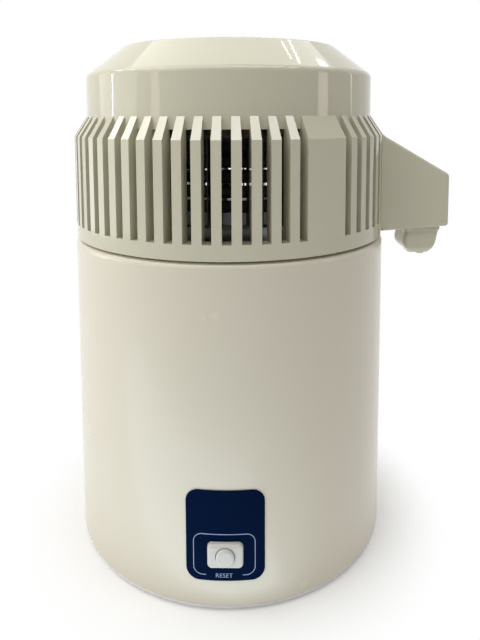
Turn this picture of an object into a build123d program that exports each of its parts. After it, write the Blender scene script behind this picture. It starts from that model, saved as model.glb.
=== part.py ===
from build123d import *

import math
import os

# Countertop water distiller. The origin is on the axis at bench level, +Z up, millimetres.
# The spout arm points along +X, the control label faces about -Y and the mains inlet is at the
# rear, +Y. The head is set down by hand, so its arm stands a little past square to the label.

os.makedirs("parts", exist_ok=True)

# Clearances
seat_gap = 0.1
free_gap = 0.3
slide_gap = 0.4
cut_over = 1.0

# Floor plate and feet
foot_proud = 1.0
plate_thickness = 2.0
plate_inset = 1.9
foot_radius = 8.0
foot_depth = 4.0
foot_inset = 23.5
foot_count = 4
boss_wall = 2.0
vent_ring = 43.0
vent_length = 24.0
vent_width = 4.0
vent_count = 12
spigot_height = 4.0

# Casing
shell_radius = 115.5
shell_height = 219.5
shell_sheet = 1.0
shell_top_round = 4.0
shell_foot_round = 3.0
shell_foot_width = 11.0
shell_seat_width = 15.0

# Boiling chamber
chamber_inset = 16.5
chamber_depth = 166.5
chamber_sheet = 1.0
chamber_corner = 8.0
chamber_rim_width = 7.0

# Heater and thermostats
heater_inset = 19.0
heater_thickness = 8.0
heater_edge = 1.5
element_ring = 52.0
element_tube = 8.0
element_gap_angle = 44.0
element_tail = 12.0
element_bend = 9.0
thermostat_radius = 8.5
thermostat_height = 9.0
thermostat_spacing = 44.0
thermostat_flange = 24.0
thermostat_sheet = 1.0
tag_width = 6.3
tag_thickness = 0.8
tag_length = 7.0

# Tie rods, their nuts and the heat shield
rod_ring = 70.0
rod_radius = 3.0
rod_thread_radius = 2.5
rod_cover = 1.0
rod_recess = 0.4
nut_flats = 8.0
nut_height = 4.0
shield_height = 26.0
shield_inset = 3.0
shield_sheet = 0.8
shield_rim = 6.0
shield_round = 3.0
shield_clearance = 1.0
nut_pocket_depth = 5.0

# Control label, switch block and button
control_angle = -94.0
label_width = 49.2
label_height = 59.1
label_bottom = 22.0
label_round = 8.0
label_thickness = 0.5
switch_height = 40.0
block_width = 22.3
block_height = 15.8
block_round = 3.0
block_proud = 3.8
block_edge = 2.0
switch_body_width = 19.6
switch_body_height = 14.2
switch_body_depth = 17.0
button_radius = 5.8
button_proud = 2.3
button_travel = 2.0
button_skirt = 6.0
button_edge = 1.6
stem_radius = 2.5
stem_length = 5.0

# Rear service panel
panel_width = 50.0
panel_height = 80.0
panel_bottom = 18.0
panel_round = 7.0
panel_proud = 3.0
panel_wall = 2.5
panel_edge = 1.0
spigot_inset = 4.0
panel_depth = 9.0

# Mains inlet and fan outlet
inlet_height = 40.0
inlet_flange_width = 30.5
inlet_flange_height = 23.0
inlet_flange_thickness = 2.5
inlet_width = 27.0
inlet_body_height = 19.6
inlet_depth = 20.0
inlet_wall = 1.2
inlet_corner = 5.0
inlet_floor = 3.0
pin_width = 2.0
pin_height = 4.0
pin_length = 15.0
pin_spacing = 7.0
pin_offset = 2.0
outlet_height = 78.0
outlet_flange_width = 26.0
outlet_flange_height = 17.0
outlet_width = 21.0
outlet_body_height = 12.0
outlet_depth = 15.0
outlet_hole_radius = 1.7
outlet_hole_spacing = 9.0
contact_wall = 0.4
contact_length = 13.0

# Terminal block on the floor plate
terminal_width = 34.0
terminal_depth = 14.0
terminal_height = 12.0
terminal_offset = 80.0
terminal_poles = 3
terminal_hole = 1.8

# Louvre ring
seam_gap = 1.0
ring_inset = 0.5
ring_depth = 11.5
skirt_wall = 3.0
skirt_depth = 7.2
ledge_thickness = 3.0
louvre_height = 62.3
louvre_slope_height = 14.0
division_count = 60
slot_width = 5.8
post_count = 3
post_angle = 60.0
skirt_edge = 0.8

# Cap
cap_inset = 9.0
cap_wall = 2.5
cap_overlap = 8.0
shoulder_height = 29.0
roof_height = 21.0
roof_inset = 27.0
shoulder_round = 5.0
roof_round = 3.0
grille_inset = 7.0
grille_pitch = 8.0
grille_rings = 7
grille_slot = 4.2
grille_web = 4.0
grille_webs = 6

# Spout arm
arm_width = 34.0
arm_wall = 2.5
arm_length = 52.6
arm_root_gap = 1.8
arm_root_drop = 1.5
arm_fall = 29.7
arm_foot_drop = 1.9
arm_toe_rise = 1.4
arm_blend_inset = 1.5
arm_blend_ratio = 1.34
arm_blend = 12.0
arm_corner = 3.5
arm_edge = 2.5
arm_foot_gap = 1.0
window_sill = 1.5
window_inset = 2.0

# Filter cup and sachet
cup_setback = 19.1
cup_length = 28.0
cup_width = 27.8
cup_round = 3.0
cup_wall = 1.6
cup_floor = 1.6
cup_rise = 13.4
cup_drop = 18.5
cup_straight = 13.0
cup_shoulder = 12.3
cup_shoulder_draws = (0.0, 2.3, 0.2)
cup_heel = 4.9
cup_heel_draws = (1.0, 4.2, 1.3)
cup_toe = 2.5
cup_toe_draws = (3.2, 5.3, 3.1)
cup_foot_draws = (5.2, 6.9, 5.9)
cup_gap = 0.3
nub_offset = 2.7
nub_radius = 2.8
nub_length = 2.2
nub_bore = 1.6
nub_draft_angle = -30.0
sachet_height = 14.5
sachet_gap = 0.5
sachet_crown = 2.0

# Steam plate, gasket, baffle and fitting
plate_sheet = 1.0
plate_rim_gap = 0.5
dome_radius = 80.0
dome_foot_inset = 3.0
dome_rise = 6.3
dome_round = 3.0
gasket_overlap = 4.2
gasket_lip = 1.6
gasket_inset = 1.0
baffle_radius = 22.0
baffle_sheet = 0.8
baffle_drop = 8.0
baffle_leg_count = 3
baffle_leg_width = 6.0
baffle_leg_inset = 3.0
fitting_flats = 17.0
fitting_height = 8.0
fitting_edge = 0.8

# Condenser
tube_radius = 4.0
tube_bore = 3.2
coil_inset = 19.5
coil_pitch = 9.6
coil_half_turns = 9
coil_exit_rise = 13.0
exit_radius = 20.0
feed_radius = 50.0
riser_bend = 14.0
outlet_bend = 12.0
outlet_drop = 1.5
outlet_bore_depth = 8.0
fin_count = 72
fin_thickness = 0.6
fin_inset = 4.5
fin_foot_gap = 4.0
fin_overrun = 4.8
fin_hoop = 1.5
fin_gap_count = 3
bracket_width = 8.0
bracket_sheet = 1.2
bracket_foot = 14.0
bracket_tab = 8.0

# Fan, motor and their bracket
spider_drop = 27.0
spider_sheet = 2.0
spider_radius = 34.0
spider_arm_width = 16.0
spider_hole = 12.0
boss_inset = 9.0
boss_radius = 5.0
boss_length = 24.0
boss_rib = 6.0
core_width = 60.0
core_depth = 48.0
core_stack = 16.0
core_corner = 4.0
coil_leg_width = 34.0
coil_leg_depth = 9.0
core_window = 10.0
winding_wall = 8.0
winding_height = 23.0
winding_round = 4.0
winding_end_gap = 1.0
rotor_radius = 13.5
rotor_gap = 0.5
rotor_overhang = 2.0
rotor_edge = 1.0
bridge_width = 14.0
bridge_sheet = 1.5
bridge_rise = 4.0
bridge_hub_radius = 7.0
bridge_hub_height = 5.0
bridge_hub_proud = 0.5
bridge_leg_inset = 1.0
shaft_radius = 2.5
shaft_gap = 0.05
shaft_inset = 1.0
shaft_edge = 0.4
motor_screw_spacing = 44.0
fan_inset = 30.0
fan_hub_radius = 19.0
fan_hub_height = 16.0
fan_hub_wall = 2.0
fan_hub_round = 3.0
fan_blade_count = 7
fan_blade_chord = 34.0
fan_tip_chord = 40.0
fan_blade_sheet = 1.6
fan_root_angle = 34.0
fan_tip_angle = 20.0
fan_rise = 10.0

# Screws and the lead gland
screw_radius = 1.9
screw_head_radius = 3.6
screw_head_height = 2.4
screw_slot = 0.9
screw_slot_depth = 1.1
screw_length = 14.0
screw_tip_gap = 1.0
pilot_gap = 0.1
plate_screw_inset = 7.5
gland_rise = 17.5
gland_radius = 4.5
gland_flange_radius = 6.0
gland_length = 6.0
gland_bore = 2.6
gland_clearance = 0.7
gland_edge = 1.0
gland_flange_sheet = 1.5

# Radii, reaches and levels worked out from the sizes above
plate_radius = shell_radius - plate_inset
foot_ring = shell_radius - foot_inset
chamber_radius = shell_radius - chamber_inset
heater_radius = chamber_radius - heater_inset
shield_radius = chamber_radius - shield_inset
dome_foot_radius = chamber_radius - dome_foot_inset
gasket_outer = chamber_radius + gasket_overlap
ring_radius = shell_radius - ring_inset
ring_inner_radius = ring_radius - ring_depth
cap_radius = ring_radius - cap_inset
roof_radius = cap_radius - roof_inset
grille_outer = roof_radius - grille_inset
boss_ring = cap_radius - boss_inset
fan_radius = cap_radius - fan_inset
plate_rim_radius = ring_radius - skirt_wall - plate_rim_gap
plate_screw_ring = ring_radius - plate_screw_inset
coil_radius = ring_inner_radius - coil_inset
fin_outer = ring_inner_radius - fin_inset
gland_reach = ring_radius + gland_length
arm_reach = ring_radius + arm_length
cup_reach = arm_reach - cup_setback
nub_reach = cup_reach + nub_offset
rim_z = foot_proud
shell_foot_z = rim_z + plate_thickness
shell_top_z = shell_foot_z + shell_height
chamber_top_z = shell_top_z + chamber_sheet
chamber_floor_z = chamber_top_z - chamber_depth
heater_z = chamber_floor_z - heater_thickness
head_z = shell_top_z + seam_gap
ledge_under_z = head_z + skirt_depth
ledge_z = ledge_under_z + ledge_thickness
knee_z = ledge_z + louvre_height
louvre_top_z = knee_z + louvre_slope_height
cap_edge_z = louvre_top_z - cap_overlap
shoulder_z = louvre_top_z + shoulder_height
roof_z = shoulder_z + roof_height
division = 360.0 / division_count
steam_rim_z = ledge_under_z - plate_sheet
steam_dome_z = steam_rim_z + dome_rise
steam_top_z = steam_dome_z + plate_sheet
arm_root_reach = ring_radius + arm_root_gap
arm_root_height = knee_z - arm_root_drop
arm_end_height = arm_root_height - arm_fall
arm_foot_height = head_z - arm_foot_drop
arm_toe_height = head_z + arm_toe_rise
cup_top = arm_foot_height + cup_rise
cup_bottom = arm_foot_height - cup_drop
coil_exit_height = steam_top_z + coil_exit_rise
coil_start_z = coil_exit_height + coil_pitch * coil_half_turns / 2
fin_bottom = steam_top_z + fin_foot_gap
fin_top = coil_start_z + fin_overrun
spider_height = shoulder_z - spider_drop
spider_top_z = spider_height + spider_sheet
fan_height = spider_top_z + fan_rise
core_top_z = spider_height - bridge_rise
core_z = core_top_z - core_stack
gland_height = head_z + gland_rise
post_angles = [post_angle + i * 360.0 / post_count for i in range(post_count)]
rear_plane = Plane(origin=(0, 0, 0), x_dir=(-1, 0, 0), z_dir=(0, 1, 0))
control_turn = math.radians(control_angle)
control_plane = Plane(
    origin=(0, 0, 0),
    x_dir=(-math.sin(control_turn), math.cos(control_turn), 0),
    z_dir=(math.cos(control_turn), math.sin(control_turn), 0),
)


def around(radius, height, angle):
    """The point at a radius, height and angle about the axis, with the spout arm at angle 0."""
    turn = math.radians(angle)
    return Vector(radius * math.cos(turn), radius * math.sin(turn), height)


def spoke(radius, height, angle):
    """A place at that point whose X axis runs outwards."""
    return Location(around(radius, height, angle), (0, 0, angle))


def bent_sheet(points, radii, thickness, side):
    """Section of a sheet whose one face follows the points."""
    with BuildSketch() as section:
        with BuildLine():
            FilletPolyline(*points, radius=radii)
            offset(amount=thickness, side=side)
        make_face()
    return section.sketch


def write(piece, name):
    """Label the piece and export it under its name."""
    piece.label = name
    export_step(piece, f"parts/{name}.step")


# Floor plate: a moulded disc that closes the casing, with air vents, foot pockets and nut pockets
foot_places = [around(foot_ring, rim_z, 45 + i * 360 / foot_count) for i in range(foot_count)]
rod_places = [around(rod_ring, rim_z, angle) for angle in post_angles]
foot_pocket_depth = foot_depth - foot_proud
nut_radius = nut_flats / math.sqrt(3)
nut_pocket_radius = nut_radius + free_gap * 3
nut_seat_z = rim_z + nut_pocket_depth
spigot_radius = shell_radius - shell_foot_width - free_gap

with BuildPart() as bottom_plate:
    with BuildSketch(Plane.XY.offset(rim_z)):
        Circle(plate_radius)
    extrude(amount=plate_thickness)
    fillet(bottom_plate.edges().group_by(Axis.Z)[0], plate_thickness * 0.45)
    with BuildSketch(Plane.XY.offset(shell_foot_z)):
        Circle(spigot_radius)
        Circle(spigot_radius - boss_wall, mode=Mode.SUBTRACT)
    extrude(amount=spigot_height)
    with BuildSketch(Plane.XY.offset(shell_foot_z)):
        with Locations(*foot_places):
            Circle(foot_radius + seat_gap + boss_wall)
    extrude(amount=foot_pocket_depth + boss_wall - plate_thickness)
    with BuildSketch(Plane.XY.offset(shell_foot_z)):
        with Locations(*rod_places):
            Circle(nut_pocket_radius + boss_wall)
    extrude(amount=nut_pocket_depth + boss_wall - plate_thickness)
    with BuildSketch(Plane.XY.offset(rim_z)):
        with Locations(*foot_places):
            Circle(foot_radius + seat_gap)
    extrude(amount=foot_pocket_depth, mode=Mode.SUBTRACT)
    with BuildSketch(Plane.XY.offset(rim_z)):
        with Locations(*rod_places):
            Circle(nut_pocket_radius)
    extrude(amount=nut_pocket_depth, mode=Mode.SUBTRACT)
    with BuildSketch(Plane.XY.offset(nut_seat_z)):
        with Locations(*rod_places):
            Circle(rod_thread_radius + free_gap)
    extrude(amount=boss_wall, mode=Mode.SUBTRACT)
    with BuildSketch(Plane.XY.offset(rim_z)):
        with PolarLocations(vent_ring, vent_count, 180 / vent_count):
            SlotOverall(vent_length, vent_width)
    extrude(amount=plate_thickness, mode=Mode.SUBTRACT)
write(bottom_plate.part, "bottom_plate")

# Rubber feet pushed into their pockets
with BuildPart() as rubber_feet:
    with BuildSketch():
        with Locations(*foot_places):
            Circle(foot_radius)
    extrude(amount=foot_depth)
    chamfer(rubber_feet.edges().group_by(Axis.Z)[0], foot_proud * 0.7)
write(rubber_feet.part, "rubber_feet")

# Casing: an enamelled steel cylinder, turned in at the foot and rolled in at the top as a seat
shell_section = bent_sheet(
    [
        (shell_radius - shell_foot_width, shell_foot_z),
        (shell_radius, shell_foot_z),
        (shell_radius, shell_top_z),
        (shell_radius - shell_seat_width, shell_top_z),
    ],
    [shell_foot_round, shell_top_round],
    shell_sheet,
    Side.LEFT,
)
panel_middle = panel_bottom + panel_height / 2
spigot_width = panel_width - 2 * spigot_inset
spigot_tall = panel_height - 2 * spigot_inset

with BuildPart() as base_shell:
    with BuildSketch(Plane.XZ):
        add(shell_section)
    revolve(axis=Axis.Z)
    with BuildSketch(control_plane.offset(chamber_radius)):
        with Locations((0, switch_height)):
            Rectangle(switch_body_width + 2 * seat_gap, switch_body_height + 2 * seat_gap)
    extrude(amount=shell_radius - chamber_radius + cut_over, mode=Mode.SUBTRACT)
    with BuildSketch(rear_plane.offset(chamber_radius)):
        with Locations((0, panel_middle)):
            RectangleRounded(
                spigot_width + 2 * seat_gap,
                spigot_tall + 2 * seat_gap,
                panel_round - spigot_inset + seat_gap,
            )
    extrude(amount=shell_radius - chamber_radius + cut_over, mode=Mode.SUBTRACT)
write(base_shell.part, "base_shell")

# Boiling chamber: a drawn stainless pot that hangs by its rolled rim on the casing's seat
chamber_section = bent_sheet(
    [
        (0, chamber_floor_z),
        (chamber_radius, chamber_floor_z),
        (chamber_radius, shell_top_z),
        (chamber_radius + chamber_rim_width, shell_top_z),
    ],
    [chamber_corner, 0],
    chamber_sheet,
    Side.LEFT,
)

with BuildPart() as boiling_chamber:
    with BuildSketch(Plane.XZ):
        add(chamber_section)
    revolve(axis=Axis.Z)
write(boiling_chamber.part, "boiling_chamber")

# Heater plate brazed under the chamber, with threaded holes for the tie rods
with BuildPart() as heater_plate:
    with BuildSketch(Plane.XY.offset(heater_z)):
        Circle(heater_radius)
    extrude(amount=heater_thickness)
    chamfer(heater_plate.edges().group_by(Axis.Z)[0], heater_edge)
    with BuildSketch(Plane.XY.offset(heater_z)):
        with Locations(*rod_places):
            Circle(rod_radius + seat_gap)
    extrude(amount=heater_thickness - rod_cover, mode=Mode.SUBTRACT)
write(heater_plate.part, "heater_plate")

# Heating element: an open ring of tube under the plate, its two cold ends bent down
element_z = heater_z - free_gap - element_tube / 2
element_start = element_gap_angle / 2
ring_start = around(element_ring, element_z, element_start)
ring_end = around(element_ring, element_z, -element_start)
start_way = Vector(0, 0, 1).cross(ring_start - Vector(0, 0, element_z)).normalized()
end_way = Vector(0, 0, 1).cross(ring_end - Vector(0, 0, element_z)).normalized()
start_foot = ring_start - start_way * element_bend - Vector(0, 0, element_bend)
end_foot = ring_end + end_way * element_bend - Vector(0, 0, element_bend)

with BuildPart() as heater_element:
    with BuildLine():
        Line(start_foot - Vector(0, 0, element_tail), start_foot)
        TangentArc(start_foot, ring_start, tangent=(0, 0, 1))
        ring_middle = around(element_ring, element_z, 180)
        ThreePointArc(ring_start, around(element_ring, element_z, 90), ring_middle)
        ThreePointArc(ring_middle, around(element_ring, element_z, 270), ring_end)
        TangentArc(ring_end, end_foot, tangent=end_way)
        Line(end_foot, end_foot - Vector(0, 0, element_tail))
    with BuildSketch(Plane(origin=start_foot - Vector(0, 0, element_tail), z_dir=(0, 0, 1))):
        Circle(element_tube / 2)
    sweep()
write(heater_element.part, "heater_element")

# Two bimetal thermostats clipped under the plate, each with a flange and two tags
thermostat_places = [
    (-thermostat_spacing / 2, 0, heater_z),
    (thermostat_spacing / 2, 0, heater_z),
]

with BuildPart() as thermostats:
    with BuildSketch(Plane.XY.offset(heater_z)):
        with Locations(*thermostat_places):
            SlotOverall(thermostat_flange, thermostat_radius, rotation=90)
    extrude(amount=-thermostat_sheet)
    with BuildSketch(Plane.XY.offset(heater_z)):
        with Locations(*thermostat_places):
            Circle(thermostat_radius)
    extrude(amount=-thermostat_height)
    with BuildSketch(Plane.XY.offset(heater_z - thermostat_height)):
        with Locations(*thermostat_places):
            with Locations((0, -thermostat_radius / 2), (0, thermostat_radius / 2)):
                Rectangle(tag_width, tag_thickness)
    extrude(amount=-tag_length)
write(thermostats.part, "thermostats")

# Tie rods: shouldered studs that pull the heater, shield and floor plate together
rod_shoulder_z = shield_height + shield_sheet
rod_top_z = chamber_floor_z - rod_cover - seat_gap

with BuildPart() as tie_rods:
    with BuildSketch(Plane.XY.offset(rod_shoulder_z)):
        with Locations(*rod_places):
            Circle(rod_radius)
    extrude(amount=rod_top_z - rod_shoulder_z)
    with BuildSketch(Plane.XY.offset(rim_z + rod_recess)):
        with Locations(*rod_places):
            Circle(rod_thread_radius)
    extrude(amount=rod_shoulder_z - rim_z - rod_recess)
write(tie_rods.part, "tie_rods")

# Heat shield: a steel dish held against the rods' shoulders
shield_section = bent_sheet(
    [
        (0, shield_height),
        (shield_radius, shield_height),
        (shield_radius, shield_height + shield_rim),
    ],
    [shield_round],
    shield_sheet,
    Side.LEFT,
)

with BuildPart() as heat_shield:
    with BuildSketch(Plane.XZ):
        add(shield_section)
    revolve(axis=Axis.Z)
    with BuildSketch(Plane.XY.offset(shield_height)):
        with Locations(*rod_places):
            Circle(rod_thread_radius + seat_gap)
        with Locations(*[Vector(p.X, p.Y, 0) for p in (start_foot, end_foot)]):
            Circle(element_tube / 2 + 2 * free_gap)
        with Locations(*thermostat_places):
            SlotOverall(thermostat_flange, 2 * (thermostat_radius + shield_clearance), rotation=90)
    extrude(amount=shield_sheet, mode=Mode.SUBTRACT)
write(heat_shield.part, "heat_shield")


def hex_nuts(seat_z, height):
    """Hexagonal nuts below a seat, one on each tie rod."""
    with BuildPart() as nuts:
        with BuildSketch(Plane.XY.offset(seat_z)):
            with Locations(*rod_places):
                RegularPolygon(nut_radius, 6)
                Circle(rod_thread_radius + seat_gap, mode=Mode.SUBTRACT)
        extrude(amount=-height)
    return nuts.part


shield_nuts = hex_nuts(shield_height, nut_height)
write(shield_nuts, "shield_nuts")
base_nuts = hex_nuts(nut_seat_z, nut_height)
write(base_nuts, "base_nuts")

# Terminal block of ceramic on the floor plate, near the mains inlet
terminal_pitch = terminal_width / terminal_poles
terminal_step = terminal_height * 0.65

with BuildPart() as terminal_block:
    with BuildSketch(Plane.XY.offset(shell_foot_z)):
        with Locations((0, terminal_offset)):
            Rectangle(terminal_width, terminal_depth)
    extrude(amount=terminal_step)
    with BuildSketch(Plane.XY.offset(shell_foot_z + terminal_step)):
        with Locations((0, terminal_offset)):
            with GridLocations(terminal_pitch, 0, terminal_poles, 1):
                Rectangle(terminal_pitch * 0.7, terminal_depth * 0.6)
    extrude(amount=terminal_height - terminal_step)
    with BuildSketch(Plane.XY.offset(shell_foot_z + terminal_height)):
        with Locations((0, terminal_offset)):
            with GridLocations(terminal_pitch, 0, terminal_poles, 1):
                Circle(terminal_hole)
    extrude(amount=-terminal_height / 2, mode=Mode.SUBTRACT)
write(terminal_block.part, "terminal_block")

# Control label: a thin plate bent round the casing, with a window for the switch block
label_inner = shell_radius + seat_gap
label_middle = label_bottom + label_height / 2

with BuildPart() as control_label:
    with BuildSketch(Plane.XY.offset(label_bottom)):
        Circle(label_inner + label_thickness)
        Circle(label_inner, mode=Mode.SUBTRACT)
    extrude(amount=label_height)
    with BuildSketch(control_plane.offset(chamber_radius)):
        with Locations((0, label_middle)):
            RectangleRounded(label_width, label_height, label_round)
    extrude(amount=shell_radius, mode=Mode.INTERSECT)
    with BuildSketch(control_plane.offset(chamber_radius)):
        with Locations((0, switch_height)):
            RectangleRounded(block_width + 2 * seat_gap, block_height + 2 * seat_gap, block_round)
    extrude(amount=shell_radius, mode=Mode.SUBTRACT)
write(control_label.part, "control_label")

# Switch block: a bezel on the casing, a body through it and a stepped bore for the button
block_face = shell_radius + block_proud
switch_body_face = shell_radius - shell_sheet - switch_body_depth
button_inner = block_face - button_skirt
bore_floor = button_inner - button_travel - free_gap
stem_end = bore_floor - stem_length

with BuildPart() as reset_switch:
    with BuildSketch(control_plane.offset(chamber_radius)):
        with Locations((0, switch_height)):
            RectangleRounded(block_width, block_height, block_round)
    extrude(amount=block_face - chamber_radius)
    with BuildSketch(Plane.XY.offset(switch_height - block_height)):
        Circle(shell_radius + seat_gap)
    extrude(amount=2 * block_height, mode=Mode.SUBTRACT)
    fillet(reset_switch.faces().sort_by(Axis.Y)[0].edges(), block_edge)
    with BuildSketch(control_plane.offset(switch_body_face)):
        with Locations((0, switch_height)):
            Rectangle(switch_body_width, switch_body_height)
    extrude(amount=shell_radius + block_proud / 2 - switch_body_face)
    with BuildSketch(control_plane.offset(block_face)):
        with Locations((0, switch_height)):
            Circle(button_radius + slide_gap)
    extrude(amount=bore_floor - block_face, mode=Mode.SUBTRACT)
    with BuildSketch(control_plane.offset(bore_floor)):
        with Locations((0, switch_height)):
            Circle(stem_radius + slide_gap)
    extrude(amount=stem_end - button_travel - bore_floor - free_gap, mode=Mode.SUBTRACT)
write(reset_switch.part, "reset_switch")

# Push button: a round cap with a softened rim on a stem that runs in the switch body
with BuildPart() as reset_button:
    with BuildSketch(control_plane.offset(button_inner)):
        with Locations((0, switch_height)):
            Circle(button_radius)
    extrude(amount=button_skirt + button_proud)
    fillet(reset_button.faces().sort_by(Axis.Y)[0].edges(), button_edge)
    with BuildSketch(control_plane.offset(stem_end)):
        with Locations((0, switch_height)):
            Circle(stem_radius)
    extrude(amount=button_inner - stem_end)
write(reset_button.part, "reset_button")

# Tags at the back of the switch body
with BuildPart() as switch_tags:
    with BuildSketch(control_plane.offset(switch_body_face)):
        with Locations((0, switch_height)):
            with GridLocations(0, switch_body_height / 2, 1, 2):
                Rectangle(tag_width, tag_thickness)
    extrude(amount=-tag_length)
write(switch_tags.part, "switch_tags")

# Service panel: a moulded plate bent to the casing, its spigot passing through the cut-out
panel_face = shell_radius + panel_proud

with BuildPart() as service_panel:
    with BuildSketch(rear_plane.offset(chamber_radius)):
        with Locations((0, panel_middle)):
            RectangleRounded(panel_width, panel_height, panel_round)
    extrude(amount=panel_face - chamber_radius)
    with BuildSketch(Plane.XY.offset(panel_bottom - cut_over)):
        Circle(shell_radius + seat_gap)
    extrude(amount=panel_height + 2 * cut_over, mode=Mode.SUBTRACT)
    fillet(service_panel.faces().sort_by(Axis.Y)[-1].edges(), panel_edge)
    with BuildSketch(rear_plane.offset(shell_radius - panel_depth)):
        with Locations((0, panel_middle)):
            RectangleRounded(spigot_width, spigot_tall, panel_round - spigot_inset)
    extrude(amount=panel_depth + panel_proud / 2)
    with BuildSketch(rear_plane.offset(shell_radius - panel_depth)):
        with Locations((0, panel_middle)):
            Rectangle(spigot_width - 2 * panel_wall, spigot_tall - 2 * panel_wall)
    extrude(amount=panel_depth + panel_proud - panel_wall, mode=Mode.SUBTRACT)
    with BuildSketch(rear_plane.offset(chamber_radius)):
        with Locations((0, inlet_height)):
            Rectangle(inlet_width + 2 * seat_gap, inlet_body_height + 2 * seat_gap)
        with Locations((0, outlet_height)):
            Rectangle(outlet_width + 2 * seat_gap, outlet_body_height + 2 * seat_gap)
    extrude(amount=shell_radius, mode=Mode.SUBTRACT)
write(service_panel.part, "service_panel")

# Mains inlet: a flanged body with a recess of the usual six-sided form for three pins
inlet_face = panel_face + inlet_flange_thickness
recess_width = inlet_width - 2 * inlet_wall
recess_height = inlet_body_height - 2 * inlet_wall
recess_floor = panel_face - inlet_depth + inlet_floor
pin_places = [
    (-pin_spacing, inlet_height - pin_offset),
    (0, inlet_height + pin_offset),
    (pin_spacing, inlet_height - pin_offset),
]

with BuildPart() as mains_inlet:
    with BuildSketch(rear_plane.offset(panel_face)):
        with Locations((0, inlet_height)):
            RectangleRounded(inlet_flange_width, inlet_flange_height, inlet_flange_thickness)
    extrude(amount=inlet_flange_thickness)
    fillet(mains_inlet.faces().sort_by(Axis.Y)[-1].edges(), inlet_flange_thickness * 0.3)
    with BuildSketch(rear_plane.offset(panel_face - inlet_depth)):
        with Locations((0, inlet_height)):
            Rectangle(inlet_width, inlet_body_height)
    extrude(amount=inlet_depth)
    with BuildSketch(rear_plane.offset(recess_floor)) as recess:
        with Locations((0, inlet_height)):
            Rectangle(recess_width, recess_height)
        chamfer(recess.vertices().group_by(Axis.Y)[-1], inlet_corner)
    extrude(amount=inlet_face - recess_floor, mode=Mode.SUBTRACT)
    with BuildSketch(rear_plane.offset(panel_face - inlet_depth)):
        with Locations(*pin_places):
            Rectangle(pin_width, pin_height)
    extrude(amount=inlet_floor, mode=Mode.SUBTRACT)
write(mains_inlet.part, "mains_inlet")

# Three inlet pins, each one blade from its tag to its tip
with BuildPart() as inlet_pins:
    with BuildSketch(rear_plane.offset(panel_face - inlet_depth - tag_length)):
        with Locations(*pin_places):
            Rectangle(pin_width - seat_gap, pin_height - seat_gap)
    extrude(amount=tag_length + inlet_floor + pin_length)
    chamfer(inlet_pins.faces().group_by(Axis.Y)[-1].edges(), pin_width * 0.2)
write(inlet_pins.part, "inlet_pins")

# Fan outlet: a flanged two-pole socket above the inlet
outlet_face = panel_face + inlet_flange_thickness

with BuildPart() as fan_socket:
    with BuildSketch(rear_plane.offset(panel_face)):
        with Locations((0, outlet_height)):
            RectangleRounded(outlet_flange_width, outlet_flange_height, inlet_flange_thickness)
    extrude(amount=inlet_flange_thickness)
    fillet(fan_socket.faces().sort_by(Axis.Y)[-1].edges(), inlet_flange_thickness * 0.3)
    with BuildSketch(rear_plane.offset(panel_face - outlet_depth)):
        with Locations((0, outlet_height)):
            Rectangle(outlet_width, outlet_body_height)
    extrude(amount=outlet_depth)
    with BuildSketch(rear_plane.offset(panel_face - outlet_depth)):
        with Locations((0, outlet_height)):
            with GridLocations(outlet_hole_spacing, 0, 2, 1):
                Circle(outlet_hole_radius + contact_wall + seat_gap)
    extrude(amount=contact_length, mode=Mode.SUBTRACT)
    with BuildSketch(rear_plane.offset(outlet_face)):
        with Locations((0, outlet_height)):
            with GridLocations(outlet_hole_spacing, 0, 2, 1):
                Circle(outlet_hole_radius)
    extrude(amount=-outlet_depth, mode=Mode.SUBTRACT)
write(fan_socket.part, "fan_socket")

# Two sleeve contacts in the fan outlet
with BuildPart() as socket_contacts:
    with BuildSketch(rear_plane.offset(panel_face - outlet_depth)):
        with Locations((0, outlet_height)):
            with GridLocations(outlet_hole_spacing, 0, 2, 1):
                Circle(outlet_hole_radius + contact_wall)
                Circle(outlet_hole_radius, mode=Mode.SUBTRACT)
    extrude(amount=contact_length - seat_gap)
write(socket_contacts.part, "socket_contacts")


def arm_top(reach):
    """Height of the arm's upper line at a reach from the axis."""
    slope = (arm_end_height - arm_root_height) / (arm_reach - arm_root_reach)
    return arm_root_height + slope * (reach - arm_root_reach)


def arm_under(reach):
    """Height of the arm's underside at a reach from the axis."""
    foot_reach = shell_radius + arm_foot_gap
    slope = (arm_toe_height - arm_foot_height) / (arm_reach - foot_reach)
    return arm_foot_height + slope * (reach - foot_reach)


# Outer form of the spout arm, from inside the louvre ring to its end face
arm_skirt_reach = ring_radius - skirt_wall / 2
arm_ring_reach = (ring_inner_radius + ring_radius) / 2
arm_blend_reach = arm_ring_reach + arm_blend_inset

with BuildPart() as arm_form:
    with BuildSketch(Plane.XZ.offset(-arm_width / 2)):
        with BuildLine():
            foot = (shell_radius + arm_foot_gap, arm_foot_height)
            root = (arm_root_reach, arm_root_height)
            end = (arm_reach, arm_end_height)
            toe = (arm_reach, arm_toe_height)
            high_rise = arm_blend_ratio * (arm_root_reach - arm_blend_reach)
            high = (arm_blend_reach, arm_root_height + high_rise)
            FilletPolyline(high, root, end, toe, foot, radius=[arm_blend, arm_corner, arm_edge])
            Polyline(
                foot,
                (foot[0], head_z),
                (arm_skirt_reach, head_z),
                (arm_skirt_reach, ledge_under_z + ledge_thickness / 2),
                (arm_ring_reach, ledge_under_z + ledge_thickness / 2),
                (arm_ring_reach, high[1]),
                high,
            )
        make_face()
    extrude(amount=arm_width)
    arm_edges = arm_form.faces().filter_by(Axis.Y).edges()
    fillet(arm_edges.filter_by(lambda e: e.center().X > arm_root_reach), arm_edge)

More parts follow.
